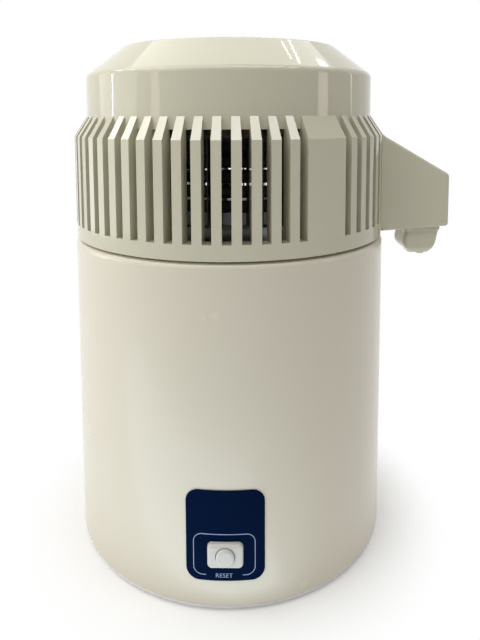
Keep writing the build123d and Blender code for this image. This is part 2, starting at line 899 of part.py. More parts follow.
# Head: cap, roof grille, louvre ring, skirt and spout arm as one moulding
skirt_inner = ring_radius - skirt_wall
slot_angles = [
    (i + 0.5) * division
    for i in range(division_count)
    if abs(((i + 0.5) * division + 180) % 360 - 180) > 2 * division
    and all(abs(((i + 0.5) * division - post + 180) % 360 - 180) > division for post in post_angles)
]
gland_angles = [a for a in slot_angles if abs(a - 90) < division]
plain_angles = [a for a in slot_angles if a not in gland_angles]
slot_start = ring_inner_radius - cut_over
slot_reach = ring_radius - ring_inner_radius + 2 * cut_over
slot_top = louvre_top_z - ledge_z + cut_over
gland_slot_z = gland_height + gland_flange_radius + gland_clearance
cap_section = bent_sheet(
    [
        (cap_radius, cap_edge_z),
        (cap_radius, shoulder_z),
        (roof_radius, roof_z),
        (0, roof_z),
    ],
    [shoulder_round, roof_round],
    cap_wall,
    Side.LEFT,
)
arm_half = arm_width / 2 - arm_wall
arm_slant_wall = arm_wall * 1.17
hollow_reach = arm_reach - arm_wall
window_bottom = ledge_z + window_sill
window_inner = ring_inner_radius - window_inset
floor_reach = shell_radius + arm_foot_gap + arm_wall

with BuildPart() as head_shell:
    with BuildSketch(Plane.XZ) as ring_section:
        with BuildLine():
            Polyline(
                (skirt_inner, head_z),
                (ring_radius, head_z),
                (ring_radius, knee_z),
                (cap_radius, louvre_top_z),
                (ring_inner_radius, louvre_top_z),
                (ring_inner_radius, ledge_under_z),
                (skirt_inner, ledge_under_z),
                close=True,
            )
        make_face()
        skirt_corners = ring_section.vertices().group_by(Axis.Y)[0]
        fillet(skirt_corners.sort_by(Axis.X)[-1], skirt_edge)
    revolve(axis=Axis.Z)
    with Locations(*[spoke(slot_start, ledge_z, a) for a in plain_angles]):
        Box(
            slot_reach,
            slot_width,
            slot_top,
            align=(Align.MIN, Align.CENTER, Align.MIN),
            mode=Mode.SUBTRACT,
        )
    with Locations(*[spoke(slot_start, gland_slot_z, a) for a in gland_angles]):
        Box(
            slot_reach,
            slot_width,
            slot_top + ledge_z - gland_slot_z,
            align=(Align.MIN, Align.CENTER, Align.MIN),
            mode=Mode.SUBTRACT,
        )
    with BuildSketch(Plane.XZ):
        add(cap_section)
    revolve(axis=Axis.Z)
    with BuildSketch(Plane.XY.offset(roof_z - 2 * cap_wall)):
        for i in range(grille_rings):
            Circle(grille_outer - i * grille_pitch)
            Circle(grille_outer - i * grille_pitch - grille_slot, mode=Mode.SUBTRACT)
        with PolarLocations(0, grille_webs):
            Rectangle(
                grille_outer + grille_slot,
                grille_web,
                align=(Align.MIN, Align.CENTER),
                mode=Mode.SUBTRACT,
            )
    extrude(amount=3 * cap_wall, mode=Mode.SUBTRACT)
    for angle in post_angles:
        with BuildSketch(Plane.XY.offset(spider_top_z)):
            with Locations(spoke(boss_ring, 0, angle)):
                Circle(boss_radius)
                Rectangle(
                    cap_radius - boss_ring - cap_wall / 2,
                    boss_rib,
                    align=(Align.MIN, Align.CENTER),
                )
        extrude(amount=boss_length)
    add(arm_form.part)
    with BuildSketch(Plane.XZ.offset(-arm_half)):
        with BuildLine():
            Polyline(
                (window_inner, window_bottom),
                (floor_reach, window_bottom),
                (floor_reach, arm_under(floor_reach) + arm_wall),
                (hollow_reach, arm_under(hollow_reach) + arm_wall),
                (hollow_reach, arm_top(hollow_reach) - arm_slant_wall),
                (arm_root_reach, arm_top(arm_root_reach) - arm_slant_wall),
                (window_inner, arm_top(arm_root_reach) - arm_slant_wall),
                close=True,
            )
        make_face()
    extrude(amount=2 * arm_half, mode=Mode.SUBTRACT)
    with BuildSketch(Plane((cup_reach, 0, arm_foot_height - cut_over))):
        RectangleRounded(cup_length + 2 * cup_gap, cup_width + 2 * cup_gap, cup_round + cup_gap)
    extrude(amount=cup_top - arm_foot_height, mode=Mode.SUBTRACT)
    with BuildSketch(Plane.XY.offset(spider_top_z)):
        with Locations(*[around(boss_ring, 0, angle) for angle in post_angles]):
            Circle(screw_radius + pilot_gap)
    extrude(amount=screw_length, mode=Mode.SUBTRACT)
    with BuildSketch(Plane.XY.offset(ledge_under_z)):
        with Locations(*[around(plate_screw_ring, 0, angle) for angle in post_angles]):
            Circle(screw_radius + pilot_gap)
    extrude(amount=screw_length, mode=Mode.SUBTRACT)
    with BuildSketch(rear_plane.offset(window_inner)):
        with Locations((0, gland_height)):
            Circle(gland_radius + seat_gap)
    extrude(amount=ring_radius, mode=Mode.SUBTRACT)
write(head_shell.part, "head_shell")

# Filter cup: a square cup that draws in to its foot, more at its outer end, with a drip nub. Each
# section below the rim draws in by so much at its inner end, its outer end and its two sides.
cup_sections = [
    (cup_top - cup_straight, (0.0, 0.0, 0.0)),
    (cup_bottom + cup_shoulder, cup_shoulder_draws),
    (cup_bottom + cup_heel, cup_heel_draws),
    (cup_bottom + cup_toe, cup_toe_draws),
    (cup_bottom, cup_foot_draws),
]


def cup_outline(draws, inset, corner):
    """One section of the cup, drawn in and then set in all round, at its place along the arm."""
    inner, outer, side = draws
    with BuildSketch() as outline:
        with Locations((cup_reach + (inner - outer) / 2, 0)):
            RectangleRounded(
                cup_length - inner - outer - 2 * inset,
                cup_width - 2 * side - 2 * inset,
                corner,
            )
    return outline.sketch


def cup_form(inset, floor):
    """The cup's sections, set in all round and stopped above its floor."""
    with BuildPart() as form:
        for level, draws in cup_sections:
            with BuildSketch(Plane.XY.offset(max(level, cup_bottom + floor))):
                add(cup_outline(draws, inset, cup_round - inset))
        loft()
        with BuildSketch(Plane.XY.offset(cup_top - cup_straight)):
            add(cup_outline(cup_sections[0][1], inset, cup_round - inset))
        extrude(amount=cup_straight)
    return form.part


cup_outside = cup_form(0, 0)
cup_inside = cup_form(cup_wall, cup_floor)

with BuildPart() as filter_cup:
    add(cup_outside)
    with BuildSketch(Plane((nub_reach, 0, cup_bottom - nub_length))):
        Circle(nub_radius)
    extrude(amount=nub_length, taper=nub_draft_angle)
    add(cup_inside, mode=Mode.SUBTRACT)
    with BuildSketch(Plane((nub_reach, 0, cup_bottom - nub_length))):
        Circle(nub_bore)
    extrude(amount=nub_length + cup_floor, mode=Mode.SUBTRACT)
write(filter_cup.part, "filter_cup")

# Charcoal sachet: a small pillow on the cup's floor
sachet_z = cup_bottom + cup_floor + sachet_gap / 2
sachet_inset = cup_wall + sachet_gap

with BuildPart() as charcoal_sachet:
    with BuildSketch(Plane.XY.offset(sachet_z)):
        add(cup_outline(cup_foot_draws, sachet_inset + sachet_crown / 2, sachet_crown))
    with BuildSketch(Plane.XY.offset(sachet_z + sachet_height * 0.5)):
        add(cup_outline(cup_heel_draws, sachet_inset + sachet_crown / 2, 2 * sachet_crown))
    with BuildSketch(Plane.XY.offset(sachet_z + sachet_height)):
        add(cup_outline(cup_foot_draws, sachet_inset + sachet_crown, sachet_crown))
    loft()
write(charcoal_sachet.part, "charcoal_sachet")

# Condenser route: riser, inward feed arc, helix of nine half turns, outward bend and outlet
exit_angle = -math.degrees(math.asin(exit_radius / (coil_radius + exit_radius)))
start_angle = exit_angle - 180.0 * coil_half_turns


def coil_point(angle):
    """The tube's middle on the helix at an angle."""
    fall = coil_pitch * (angle - start_angle) / 360
    return around(coil_radius, coil_start_z - fall, angle)


def coil_way(angle):
    """The direction of the helix at an angle."""
    level = around(2 * math.pi * coil_radius, 0, angle + 90)
    return (level - Vector(0, 0, coil_pitch)).normalized()


def biarc_joint(start, start_way, end, end_way):
    """Where two arcs meet that leave the start and reach the end along the given ways."""
    gap = end - start
    ways = start_way + end_way
    a = 2 * (1 - start_way.dot(end_way))
    b = 2 * gap.dot(ways)
    c = -gap.dot(gap)
    reach = -c / b if abs(a) < 1e-9 else (-b + math.sqrt(b * b - 4 * a * c)) / (2 * a)
    return ((start + start_way * reach) + (end - end_way * reach)) * 0.5


def biarc(start, start_way, end, end_way):
    """Two tangent arcs from the start to the end."""
    joint = biarc_joint(start, start_way, end, end_way)
    first = TangentArc(start, joint, tangent=start_way)
    TangentArc(joint, end, tangent=first % 1)


feed_middle = around(coil_radius - feed_radius, coil_start_z, start_angle)
feed_point = feed_middle + around(feed_radius, 0, start_angle - 90)
feed_way = around(1, 0, start_angle)
riser_top = feed_point - feed_way * riser_bend - Vector(0, 0, riser_bend)
riser_foot = Vector(riser_top.X, riser_top.Y, steam_top_z + fitting_height / 2)
exit_reach = math.sqrt((coil_radius + exit_radius) ** 2 - exit_radius**2)
exit_point = Vector(exit_reach, 0, coil_exit_height)
outlet_turn = Vector(cup_reach - outlet_bend, 0, coil_exit_height)
outlet_low = Vector(cup_reach, 0, coil_exit_height - outlet_bend)
outlet_end = outlet_low - Vector(0, 0, outlet_drop)

with BuildPart() as condenser_coil:
    with BuildLine():
        Line(riser_foot, riser_top)
        TangentArc(riser_top, feed_point, tangent=(0, 0, 1))
        biarc(feed_point, feed_way, coil_point(start_angle), coil_way(start_angle))
        for i in range(coil_half_turns):
            here = start_angle + 180 * i
            there = here + 180
            biarc(coil_point(here), coil_way(here), coil_point(there), coil_way(there))
        biarc(coil_point(exit_angle), coil_way(exit_angle), exit_point, Vector(1, 0, 0))
        Line(exit_point, outlet_turn)
        TangentArc(outlet_turn, outlet_low, tangent=(1, 0, 0))
        Line(outlet_low, outlet_end)
    with BuildSketch(Plane(origin=riser_foot, z_dir=(0, 0, 1))):
        Circle(tube_radius)
    sweep()
    with BuildSketch(Plane(origin=outlet_end, z_dir=(0, 0, 1))):
        Circle(tube_bore)
    extrude(amount=outlet_bore_depth, mode=Mode.SUBTRACT)
write(condenser_coil.part, "condenser_coil")

# The least gap between two turns, measured on points along the helix half a turn or more apart
coil_samples = [start_angle + 5 * i for i in range(36 * coil_half_turns + 1)]
coil_points = [coil_point(angle) for angle in coil_samples]
least_gap = min(
    (coil_points[j] - coil_points[i]).length - 2 * tube_radius
    for i in range(len(coil_points))
    for j in range(i + 36, len(coil_points))
)
print("least gap between the coil's turns:", round(least_gap, 2), "mm")

# Condenser fins: thin radial plates joined by two hoops, open where the outlet leaves
fin_inner = coil_radius + tube_radius + free_gap
fin_step = 360.0 / fin_count
fin_angles = [
    i * fin_step
    for i in range(fin_count)
    if (fin_count - i) % fin_count >= fin_gap_count
]
fin_places = [spoke(fin_inner, fin_bottom, angle) for angle in fin_angles]

with BuildPart() as condenser_fins:
    with Locations(*fin_places):
        Box(
            fin_outer - fin_inner,
            fin_thickness,
            fin_top - fin_bottom,
            align=(Align.MIN, Align.CENTER, Align.MIN),
        )
    for hoop_z in (fin_bottom, fin_top - fin_hoop):
        with BuildSketch(Plane.XY.offset(hoop_z)):
            Circle(fin_outer - fin_hoop / 2)
            Circle(fin_outer - 2 * fin_hoop, mode=Mode.SUBTRACT)
        extrude(amount=fin_hoop)
write(condenser_fins.part, "condenser_fins")

# Coil brackets: upright strips on the steam plate that hook over the top turn
bracket_outer = coil_radius - tube_radius - free_gap
bracket_inner = bracket_outer - bracket_sheet
hook_z = coil_start_z + tube_radius + free_gap


def lowest_turn(angle):
    """Height of the tube's middle where its lowest turn passes an angle."""
    behind = (exit_angle - angle) % 360
    return coil_exit_height + coil_pitch * behind / 360


with BuildPart() as coil_brackets:
    for angle in post_angles:
        saddle_z = lowest_turn(angle) - tube_radius - free_gap - bracket_sheet
        strips = [
            (bracket_inner, steam_top_z, bracket_sheet, hook_z + bracket_sheet - steam_top_z),
            (bracket_inner - bracket_foot, steam_top_z, bracket_foot, bracket_sheet),
            (bracket_inner, hook_z, bracket_tab + bracket_sheet, bracket_sheet),
            (bracket_inner, saddle_z, bracket_tab, bracket_sheet),
        ]
        for reach, height, length, rise in strips:
            with Locations(spoke(reach, height, angle)):
                Box(
                    length,
                    bracket_width,
                    rise,
                    align=(Align.MIN, Align.CENTER, Align.MIN),
                )
write(coil_brackets.part, "coil_brackets")

# Steam plate: a domed disc that closes the head, with the steam hole under the riser
steam_section = bent_sheet(
    [
        (plate_rim_radius, steam_rim_z),
        (dome_foot_radius, steam_rim_z),
        (dome_radius, steam_dome_z),
        (0, steam_dome_z),
    ],
    [dome_round, dome_round],
    plate_sheet,
    Side.RIGHT,
)
screw_places = [around(plate_screw_ring, 0, angle) for angle in post_angles]

with BuildPart() as steam_plate:
    with BuildSketch(Plane.XZ):
        add(steam_section)
    revolve(axis=Axis.Z)
    with BuildSketch(Plane.XY.offset(steam_rim_z)):
        with Locations(*screw_places):
            Circle(screw_radius + pilot_gap)
        with Locations(Vector(riser_foot.X, riser_foot.Y, 0)):
            Circle(tube_bore)
    extrude(amount=dome_rise + plate_sheet, mode=Mode.SUBTRACT)
write(steam_plate.part, "steam_plate")

# Lid gasket: a silicone ring between the steam plate and the chamber's rim
with BuildPart() as lid_gasket:
    with BuildSketch(Plane.XZ):
        with BuildLine():
            Polyline(
                (dome_foot_radius + gasket_inset, steam_rim_z),
                (gasket_outer, steam_rim_z),
                (gasket_outer, head_z + gasket_lip),
                (gasket_outer - gasket_lip, head_z),
                (chamber_radius + gasket_lip, head_z),
                (chamber_radius, head_z + gasket_lip),
                close=True,
            )
        make_face()
    revolve(axis=Axis.Z)
write(lid_gasket.part, "lid_gasket")

# Steam fitting: a hexagonal collar that seals the riser to the plate
with BuildPart() as steam_fitting:
    with BuildSketch(Plane((riser_foot.X, riser_foot.Y, steam_top_z))):
        RegularPolygon(fitting_flats / math.sqrt(3), 6)
    extrude(amount=fitting_height)
    chamfer(steam_fitting.edges().group_by(Axis.Z)[-1], fitting_edge)
    with BuildSketch(Plane((riser_foot.X, riser_foot.Y, riser_foot.Z))):
        Circle(tube_radius + seat_gap)
    extrude(amount=fitting_height, mode=Mode.SUBTRACT)
    with BuildSketch(Plane((riser_foot.X, riser_foot.Y, steam_top_z))):
        Circle(tube_bore)
    extrude(amount=fitting_height, mode=Mode.SUBTRACT)
write(steam_fitting.part, "steam_fitting")

# Splash baffle: a small dish below the steam hole on three legs
baffle_z = steam_dome_z - baffle_drop

with BuildPart() as splash_baffle:
    with BuildSketch(Plane((riser_foot.X, riser_foot.Y, baffle_z))):
        Circle(baffle_radius)
    extrude(amount=baffle_sheet)
    with BuildSketch(Plane((riser_foot.X, riser_foot.Y, baffle_z))):
        with PolarLocations(baffle_radius - baffle_leg_inset, baffle_leg_count):
            Rectangle(baffle_sheet, baffle_leg_width)
    extrude(amount=baffle_drop)
write(splash_baffle.part, "splash_baffle")


def pan_screws(ring, seat_z):
    """Pan-head screws driven up from a seat, one at each post."""
    with BuildPart() as screws:
        with BuildSketch(Plane.XY.offset(seat_z)):
            with Locations(*[around(ring, 0, angle) for angle in post_angles]):
                Circle(screw_head_radius)
        extrude(amount=-screw_head_height)
        chamfer(screws.edges().group_by(Axis.Z)[0], screw_head_height * 0.3)
        with BuildSketch(Plane.XY.offset(seat_z)):
            with Locations(*[around(ring, 0, angle) for angle in post_angles]):
                Circle(screw_radius)
        extrude(amount=screw_length - screw_tip_gap)
        with BuildSketch(Plane.XY.offset(seat_z - screw_head_height)):
            for angle in post_angles:
                with Locations(spoke(ring, 0, angle)):
                    Rectangle(2 * screw_radius, screw_slot)
                    Rectangle(screw_slot, 2 * screw_radius)
        extrude(amount=screw_slot_depth, mode=Mode.SUBTRACT)
    return screws.part


plate_screws = pan_screws(plate_screw_ring, steam_rim_z)
write(plate_screws, "plate_screws")
bracket_screws = pan_screws(boss_ring, spider_height)
write(bracket_screws, "bracket_screws")

# Fan bracket: a steel spider screwed to the bosses under the cap
motor_screw_places = [(-motor_screw_spacing / 2, 0), (motor_screw_spacing / 2, 0)]

with BuildPart() as fan_bracket:
    with BuildSketch(Plane.XY.offset(spider_height)):
        Circle(spider_radius)
        for angle in post_angles:
            with Locations(spoke(0, 0, angle)):
                Rectangle(boss_ring, spider_arm_width, align=(Align.MIN, Align.CENTER))
            with Locations(spoke(boss_ring, 0, angle)):
                Circle(boss_radius)
        Circle(spider_hole, mode=Mode.SUBTRACT)
        with Locations(*motor_screw_places):
            Circle(screw_radius + pilot_gap, mode=Mode.SUBTRACT)
        with Locations(*[around(boss_ring, 0, angle) for angle in post_angles]):
            Circle(screw_radius + pilot_gap, mode=Mode.SUBTRACT)
    extrude(amount=spider_sheet)
write(fan_bracket.part, "fan_bracket")

# Motor core: a laminated stack with the rotor's bore and a leg for the winding
leg_y = -core_depth / 2 - core_window
core_bore = rotor_radius + rotor_gap

with BuildPart() as motor_core:
    with BuildSketch(Plane.XY.offset(core_z)) as core_plan:
        Rectangle(core_width, core_depth)
        with Locations((0, -core_depth / 2)):
            Rectangle(
                core_width,
                core_window + coil_leg_depth,
                align=(Align.CENTER, Align.MAX),
            )
        fillet(core_plan.vertices(), core_corner)
        with Locations((0, -core_depth / 2)):
            Rectangle(
                coil_leg_width,
                core_window,
                align=(Align.CENTER, Align.MAX),
                mode=Mode.SUBTRACT,
            )
        Circle(core_bore, mode=Mode.SUBTRACT)
        with Locations(*motor_screw_places):
            Circle(screw_radius + pilot_gap, mode=Mode.SUBTRACT)
    extrude(amount=core_stack)
write(motor_core.part, "motor_core")

# Winding: a bobbin of wire round the leg
winding_y = leg_y - coil_leg_depth / 2
winding_middle_z = core_z + core_stack / 2
winding_plan = Plane(
    origin=(-coil_leg_width / 2 + winding_end_gap, winding_y, winding_middle_z),
    x_dir=(0, 1, 0),
    z_dir=(1, 0, 0),
)

with BuildPart() as motor_winding:
    with BuildSketch(winding_plan):
        RectangleRounded(coil_leg_depth + 2 * winding_wall, winding_height, winding_round)
        Rectangle(
            coil_leg_depth + 2 * seat_gap,
            core_stack + 2 * seat_gap,
            mode=Mode.SUBTRACT,
        )
    extrude(amount=coil_leg_width - 2 * winding_end_gap)
write(motor_winding.part, "motor_winding")


def bearing_bridge(core_face, rise):
    """A stamped strip over the rotor with a bearing hub, standing off the core's face."""
    with BuildPart() as bridge:
        side = 1 if rise > 0 else -1
        legs = [(-motor_screw_spacing / 2, 0), (motor_screw_spacing / 2, 0)]
        with BuildSketch(Plane.XY.offset(core_face)):
            with Locations(*legs):
                Circle(bridge_width / 2 - bridge_leg_inset)
        extrude(amount=rise)
        with BuildSketch(Plane.XY.offset(core_face + rise)):
            SlotCenterToCenter(motor_screw_spacing, bridge_width)
        extrude(amount=-side * bridge_sheet)
        with BuildSketch(Plane.XY.offset(core_face + rise)):
            Circle(bridge_hub_radius)
        extrude(amount=-side * (bridge_sheet + bridge_hub_proud))
        with BuildSketch(Plane.XY.offset(core_face)):
            with Locations(*legs):
                Circle(screw_radius + pilot_gap)
            Circle(shaft_radius + shaft_gap)
        extrude(amount=rise, mode=Mode.SUBTRACT)
    return bridge.part


rotor_z = core_z - rotor_overhang / 2
rotor_height = core_stack + rotor_overhang
lower_rise = bridge_rise + bridge_hub_height
upper_bridge = bearing_bridge(core_top_z, bridge_rise)
write(upper_bridge, "upper_bridge")
lower_bridge = bearing_bridge(core_z, -lower_rise)
write(lower_bridge, "lower_bridge")

# Motor screws: from below the lower bridge through the core into the spider
motor_foot_z = core_z - lower_rise

with BuildPart() as motor_screws:
    with BuildSketch(Plane.XY.offset(motor_foot_z)):
        with Locations(*motor_screw_places):
            Circle(screw_head_radius)
    extrude(amount=-screw_head_height)
    with BuildSketch(Plane.XY.offset(motor_foot_z)):
        with Locations(*motor_screw_places):
            Circle(screw_radius)
    extrude(amount=spider_top_z - motor_foot_z + screw_tip_gap)
    with BuildSketch(Plane.XY.offset(motor_foot_z - screw_head_height)):
        with Locations(*motor_screw_places):
            Rectangle(2 * screw_radius, screw_slot)
            Rectangle(screw_slot, 2 * screw_radius)
    extrude(amount=screw_slot_depth, mode=Mode.SUBTRACT)
write(motor_screws.part, "motor_screws")

# Rotor on the fan's shaft
with BuildPart() as motor_rotor:
    with BuildSketch(Plane.XY.offset(rotor_z)):
        Circle(rotor_radius)
        Circle(shaft_radius + shaft_gap, mode=Mode.SUBTRACT)
    extrude(amount=rotor_height)
    rotor_rims = motor_rotor.faces().filter_by(GeomType.PLANE).edges()
    chamfer(rotor_rims.sort_by(SortBy.RADIUS)[-2:], rotor_edge)
write(motor_rotor.part, "motor_rotor")

# Shaft through both bearings and the spider to the fan's hub
shaft_foot_z = motor_foot_z + shaft_inset
shaft_top_z = fan_height + fan_hub_height - fan_hub_wall

with BuildPart() as fan_shaft:
    with BuildSketch(Plane.XY.offset(shaft_foot_z)):
        Circle(shaft_radius)
    extrude(amount=shaft_top_z - shaft_foot_z)
    chamfer(fan_shaft.edges().group_by(Axis.Z)[0], shaft_edge)
write(fan_shaft.part, "fan_shaft")

# Fan: a hub with twisted blades that draws air through the roof grille
blade_root = fan_hub_radius - fan_hub_wall / 2
blade_waist = (blade_root + fan_radius) / 2
blade_middle_z = fan_height + fan_hub_height / 2


def blade_plane(reach, angle):
    """A plane across a blade at a reach, turned to the blade's angle there."""
    tilt = math.radians(angle)
    return Plane(
        origin=(reach, 0, blade_middle_z),
        x_dir=(0, math.cos(tilt), math.sin(tilt)),
        z_dir=(1, 0, 0),
    )


with BuildPart() as fan_blade:
    with BuildSketch(blade_plane(blade_root, fan_root_angle)):
        Rectangle(fan_blade_chord * 0.6, fan_blade_sheet)
    with BuildSketch(blade_plane(blade_waist, (fan_root_angle + fan_tip_angle) / 2)):
        Rectangle(fan_blade_chord, fan_blade_sheet)
    with BuildSketch(blade_plane(fan_radius, fan_tip_angle)):
        Rectangle(fan_tip_chord, fan_blade_sheet)
    loft(ruled=True)

with BuildPart() as fan_impeller:
    with BuildSketch(Plane.XY.offset(fan_height)):
        Circle(fan_hub_radius)
    extrude(amount=fan_hub_height)
    fillet(fan_impeller.edges().group_by(Axis.Z)[-1], fan_hub_round)
    with PolarLocations(0, fan_blade_count):
        add(fan_blade.part)
    with BuildSketch(Plane.XY.offset(fan_height)):
        Circle(fan_hub_radius - fan_hub_wall)
        Circle(shaft_radius + fan_hub_wall, mode=Mode.SUBTRACT)
    extrude(amount=fan_hub_height - fan_hub_wall, mode=Mode.SUBTRACT)
    with BuildSketch(Plane.XY.offset(fan_height)):
        Circle(shaft_radius + shaft_gap)
    extrude(amount=fan_hub_height - fan_hub_wall + shaft_gap, mode=Mode.SUBTRACT)
write(fan_impeller.part, "fan_impeller")

# Lead gland: a flanged rubber sleeve through the rear of the louvre ring
with BuildPart() as lead_gland:
    with BuildSketch(rear_plane.offset(ring_inner_radius)):
        with Locations((0, gland_height)):
            Circle(gland_radius)
    extrude(amount=gland_reach - ring_inner_radius)
    chamfer(lead_gland.edges().group_by(Axis.Y)[-1], gland_edge)
    with BuildSketch(rear_plane.offset(ring_radius)):
        with Locations((0, gland_height)):
            Circle(gland_flange_radius)
    extrude(amount=gland_flange_sheet)
    with BuildSketch(rear_plane.offset(ring_inner_radius)):
        with Locations((0, gland_height)):
            Circle(gland_bore)
    extrude(amount=gland_reach - ring_inner_radius, mode=Mode.SUBTRACT)
write(lead_gland.part, "lead_gland")
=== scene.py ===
"""Countertop water distiller: finishes for its boiler and lift-off head, the printed control
label, the charcoal sachet, and a plain studio round it. Everything is in metres."""

import math

import bmesh
import bpy
from bpy.props import (
    FloatProperty,
    FloatVectorProperty,
    IntProperty,
    PointerProperty,
    StringProperty,
)
from mathutils import Matrix, Vector


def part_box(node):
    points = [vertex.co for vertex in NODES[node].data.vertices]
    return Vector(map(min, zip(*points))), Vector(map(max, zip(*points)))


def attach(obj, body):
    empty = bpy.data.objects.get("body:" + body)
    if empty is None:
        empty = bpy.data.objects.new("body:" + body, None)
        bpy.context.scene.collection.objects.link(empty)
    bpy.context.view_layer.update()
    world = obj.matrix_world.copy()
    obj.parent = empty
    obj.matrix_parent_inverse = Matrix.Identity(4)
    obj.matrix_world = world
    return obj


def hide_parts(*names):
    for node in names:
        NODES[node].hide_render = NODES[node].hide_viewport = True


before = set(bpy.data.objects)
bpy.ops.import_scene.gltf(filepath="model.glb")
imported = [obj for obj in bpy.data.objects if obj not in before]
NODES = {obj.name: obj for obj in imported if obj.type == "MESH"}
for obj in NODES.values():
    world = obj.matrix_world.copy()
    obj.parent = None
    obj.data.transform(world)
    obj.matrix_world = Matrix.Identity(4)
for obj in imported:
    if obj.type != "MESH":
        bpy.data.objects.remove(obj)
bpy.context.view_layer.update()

bl_info = {
    "name": "Countertop Water Distiller",
    "version": (1, 0, 0),
    "blender": (4, 5, 0),
    "location": "3D View > Sidebar > Distiller",
    "description": "Dresses a water distiller: head, boiler, control label, sachet and studio",
    "category": "Object",
}


def swatch(red, green, blue):
    """A paint swatch's three numbers, 0 to 255, as the linear light that a shader takes."""
    shares = (red / 255, green / 255, blue / 255)
    return tuple(((s + 0.055) / 1.055) ** 2.4 if s > 0.04045 else s / 12.92 for s in shares)


def toned(colour, gain, warmth=0.0):
    """A colour made lighter or darker by a gain, and warmer or cooler by a few hundredths."""
    red, green, blue = colour[:3]
    return (red * gain * (1 + warmth), green * gain, blue * gain * (1 - warmth))


# ---------------------------------------------------------------- sizes and colours


def colour_choice(name, description, default):
    return FloatVectorProperty(
        name=name, description=description, default=default, subtype="COLOR", size=3, min=0, max=1
    )


def number_choice(name, description, default):
    return FloatProperty(name=name, description=description, default=default)


def length_choice(name, description, default):
    return FloatProperty(
        name=name, description=description, default=default, unit="LENGTH", precision=5
    )


def angle_choice(name, description, default):
    return FloatProperty(
        name=name, description=description, default=default, subtype="ANGLE", unit="ROTATION"
    )


def share_choice(name, description, default):
    return FloatProperty(
        name=name, description=description, default=default, min=0, max=1, subtype="FACTOR"
    )


class DistillerFinishes(bpy.types.PropertyGroup):
    """Colours and surface textures of the housings."""

    head_ivory: colour_choice(
        "Head ivory",
        "Warm grey ivory of the louvred head and the filter cup",
        swatch(203, 199, 178),
    )
    enamel_ivory: colour_choice(
        "Enamel ivory", "Stoved enamel on the boiler casing", swatch(216, 209, 191)
    )
    floor_plate_grey: colour_choice(
        "Floor plate grey", "Pale moulding that closes the casing", swatch(244, 244, 247)
    )
    label_navy: colour_choice("Label navy", "Ground of the control label", swatch(0, 18, 49))
    label_print: colour_choice(
        "Label print", "Fine outline and lettering on the label", swatch(150, 165, 200)
    )
    switch_white: colour_choice(
        "Switch white", "Switch block, push button and service panel", swatch(200, 198, 191)
    )
    moulding_gloss: share_choice("Moulding roughness", "How dull the head moulding is", 0.06)
    enamel_peel: length_choice("Enamel peel", "Height of the orange peel in the enamel", 0.000012)
    brushing_depth: length_choice("Brushing depth", "Height of the lines drawn in steel", 0.000006)


class DistillerLabel(bpy.types.PropertyGroup):
    """The outline and the word printed round the reset button."""

    turn: angle_choice(
        "Label turn", "Where the middle of the label stands about the axis", math.radians(-94)
    )
    face_radius: length_choice("Label face", "Radius of the label's outer face", 0.1161)
    print_height: length_choice("Print thickness", "How far the print stands proud", 0.00012)
    outline_width: length_choice("Outline width", "Width of the outline round the switch", 0.0390)
    outline_bottom: length_choice("Outline bottom", "Height of its lower line", 0.0256)
    outline_top: length_choice("Outline top", "Height of its upper line", 0.0529)
    outline_corner: length_choice("Outline corner", "Radius of its corners", 0.0055)
    outline_line: length_choice("Outline line", "Width of its line", 0.00045)
    outline_gap: length_choice("Outline gap", "Opening in its lower line", 0.0230)
    word: StringProperty(name="Word", description="Word under the push button", default="RESET")
    word_width: length_choice("Word width", "Width of the word", 0.0105)
    word_bottom: length_choice("Word bottom", "Height of the word's foot", 0.0243)
    print_shift: length_choice(
        "Print shift", "How far the print stands left of the middle", 0.0007
    )


class DistillerSachet(bpy.types.PropertyGroup):
    """The charcoal sachet in the filter cup."""

    hem_width: length_choice("Sealed hem", "Width of the heat-sealed hem", 0.0011)
    hem_sheet: length_choice("Hem sheet", "Thickness of the sealed hem", 0.0004)
    draw_in: share_choice("Draw in", "How far the sides pull in between the corners", 0.12)
    grain_size: length_choice("Charcoal grain", "Size of the grains that show through", 0.0016)
    cells: IntProperty(name="Cells", description="Squares across each face", default=36, min=12)


class DistillerStage(bpy.types.PropertyGroup):
    """Floor, lamps and camera."""

    floor_radius: length_choice("Floor radius", "Radius of the studio floor", 4.0)
    shadow_radius: length_choice("Shadow radius", "How far the floor keeps the shadow", 0.17)
    table_radius: length_choice("Table radius", "How far the bright table top reaches", 0.32)
    table_glow: share_choice("Table glow", "How much light the table top throws back", 1.0)
    ambient: number_choice("Ambient", "Level of the room's even light", 0.09)
    key_power: number_choice("Key lamp", "Power of the lamp at upper left", 2.4)
    top_power: number_choice("Top lamp", "Power of the lamp overhead", 15.6)
    side_power: number_choice("Side lamp", "Power of the lamp at the left", 3.5)
    front_power: number_choice("Front lamps", "Power of each small ceiling lamp", 0.6)
    bounce_power: number_choice("Bounce", "Light that the table throws up in front", 0.27)
    strip_power: number_choice("Strips", "Power that the narrow lamps take shares of", 1.0)
    camera_place: FloatVectorProperty(
        name="Camera place",
        description="Where the camera stands",
        default=(-0.016440, -0.467089, 0.310591),
        subtype="TRANSLATION",
        unit="LENGTH",
        precision=5,
    )
    camera_yaw: angle_choice(
        "Camera yaw", "Turn of the view to the right of the rear", math.radians(3.003)
    )
    camera_pitch: angle_choice("Camera pitch", "Fall of the view", 0.093927)
    camera_roll: angle_choice("Camera roll", "Lean of the view", -0.004222)
    camera_lens: number_choice("Lens", "Focal length in millimetres", 34.065)
    camera_shift: number_choice("Rise", "Shift of the picture, in picture lengths", -0.23125)


# ---------------------------------------------------------------- shader building

# Sockets of a Mix node that mixes colours
MIX_SHARE, MIX_FIRST, MIX_SECOND, MIX_RESULT = 0, 6, 7, 2


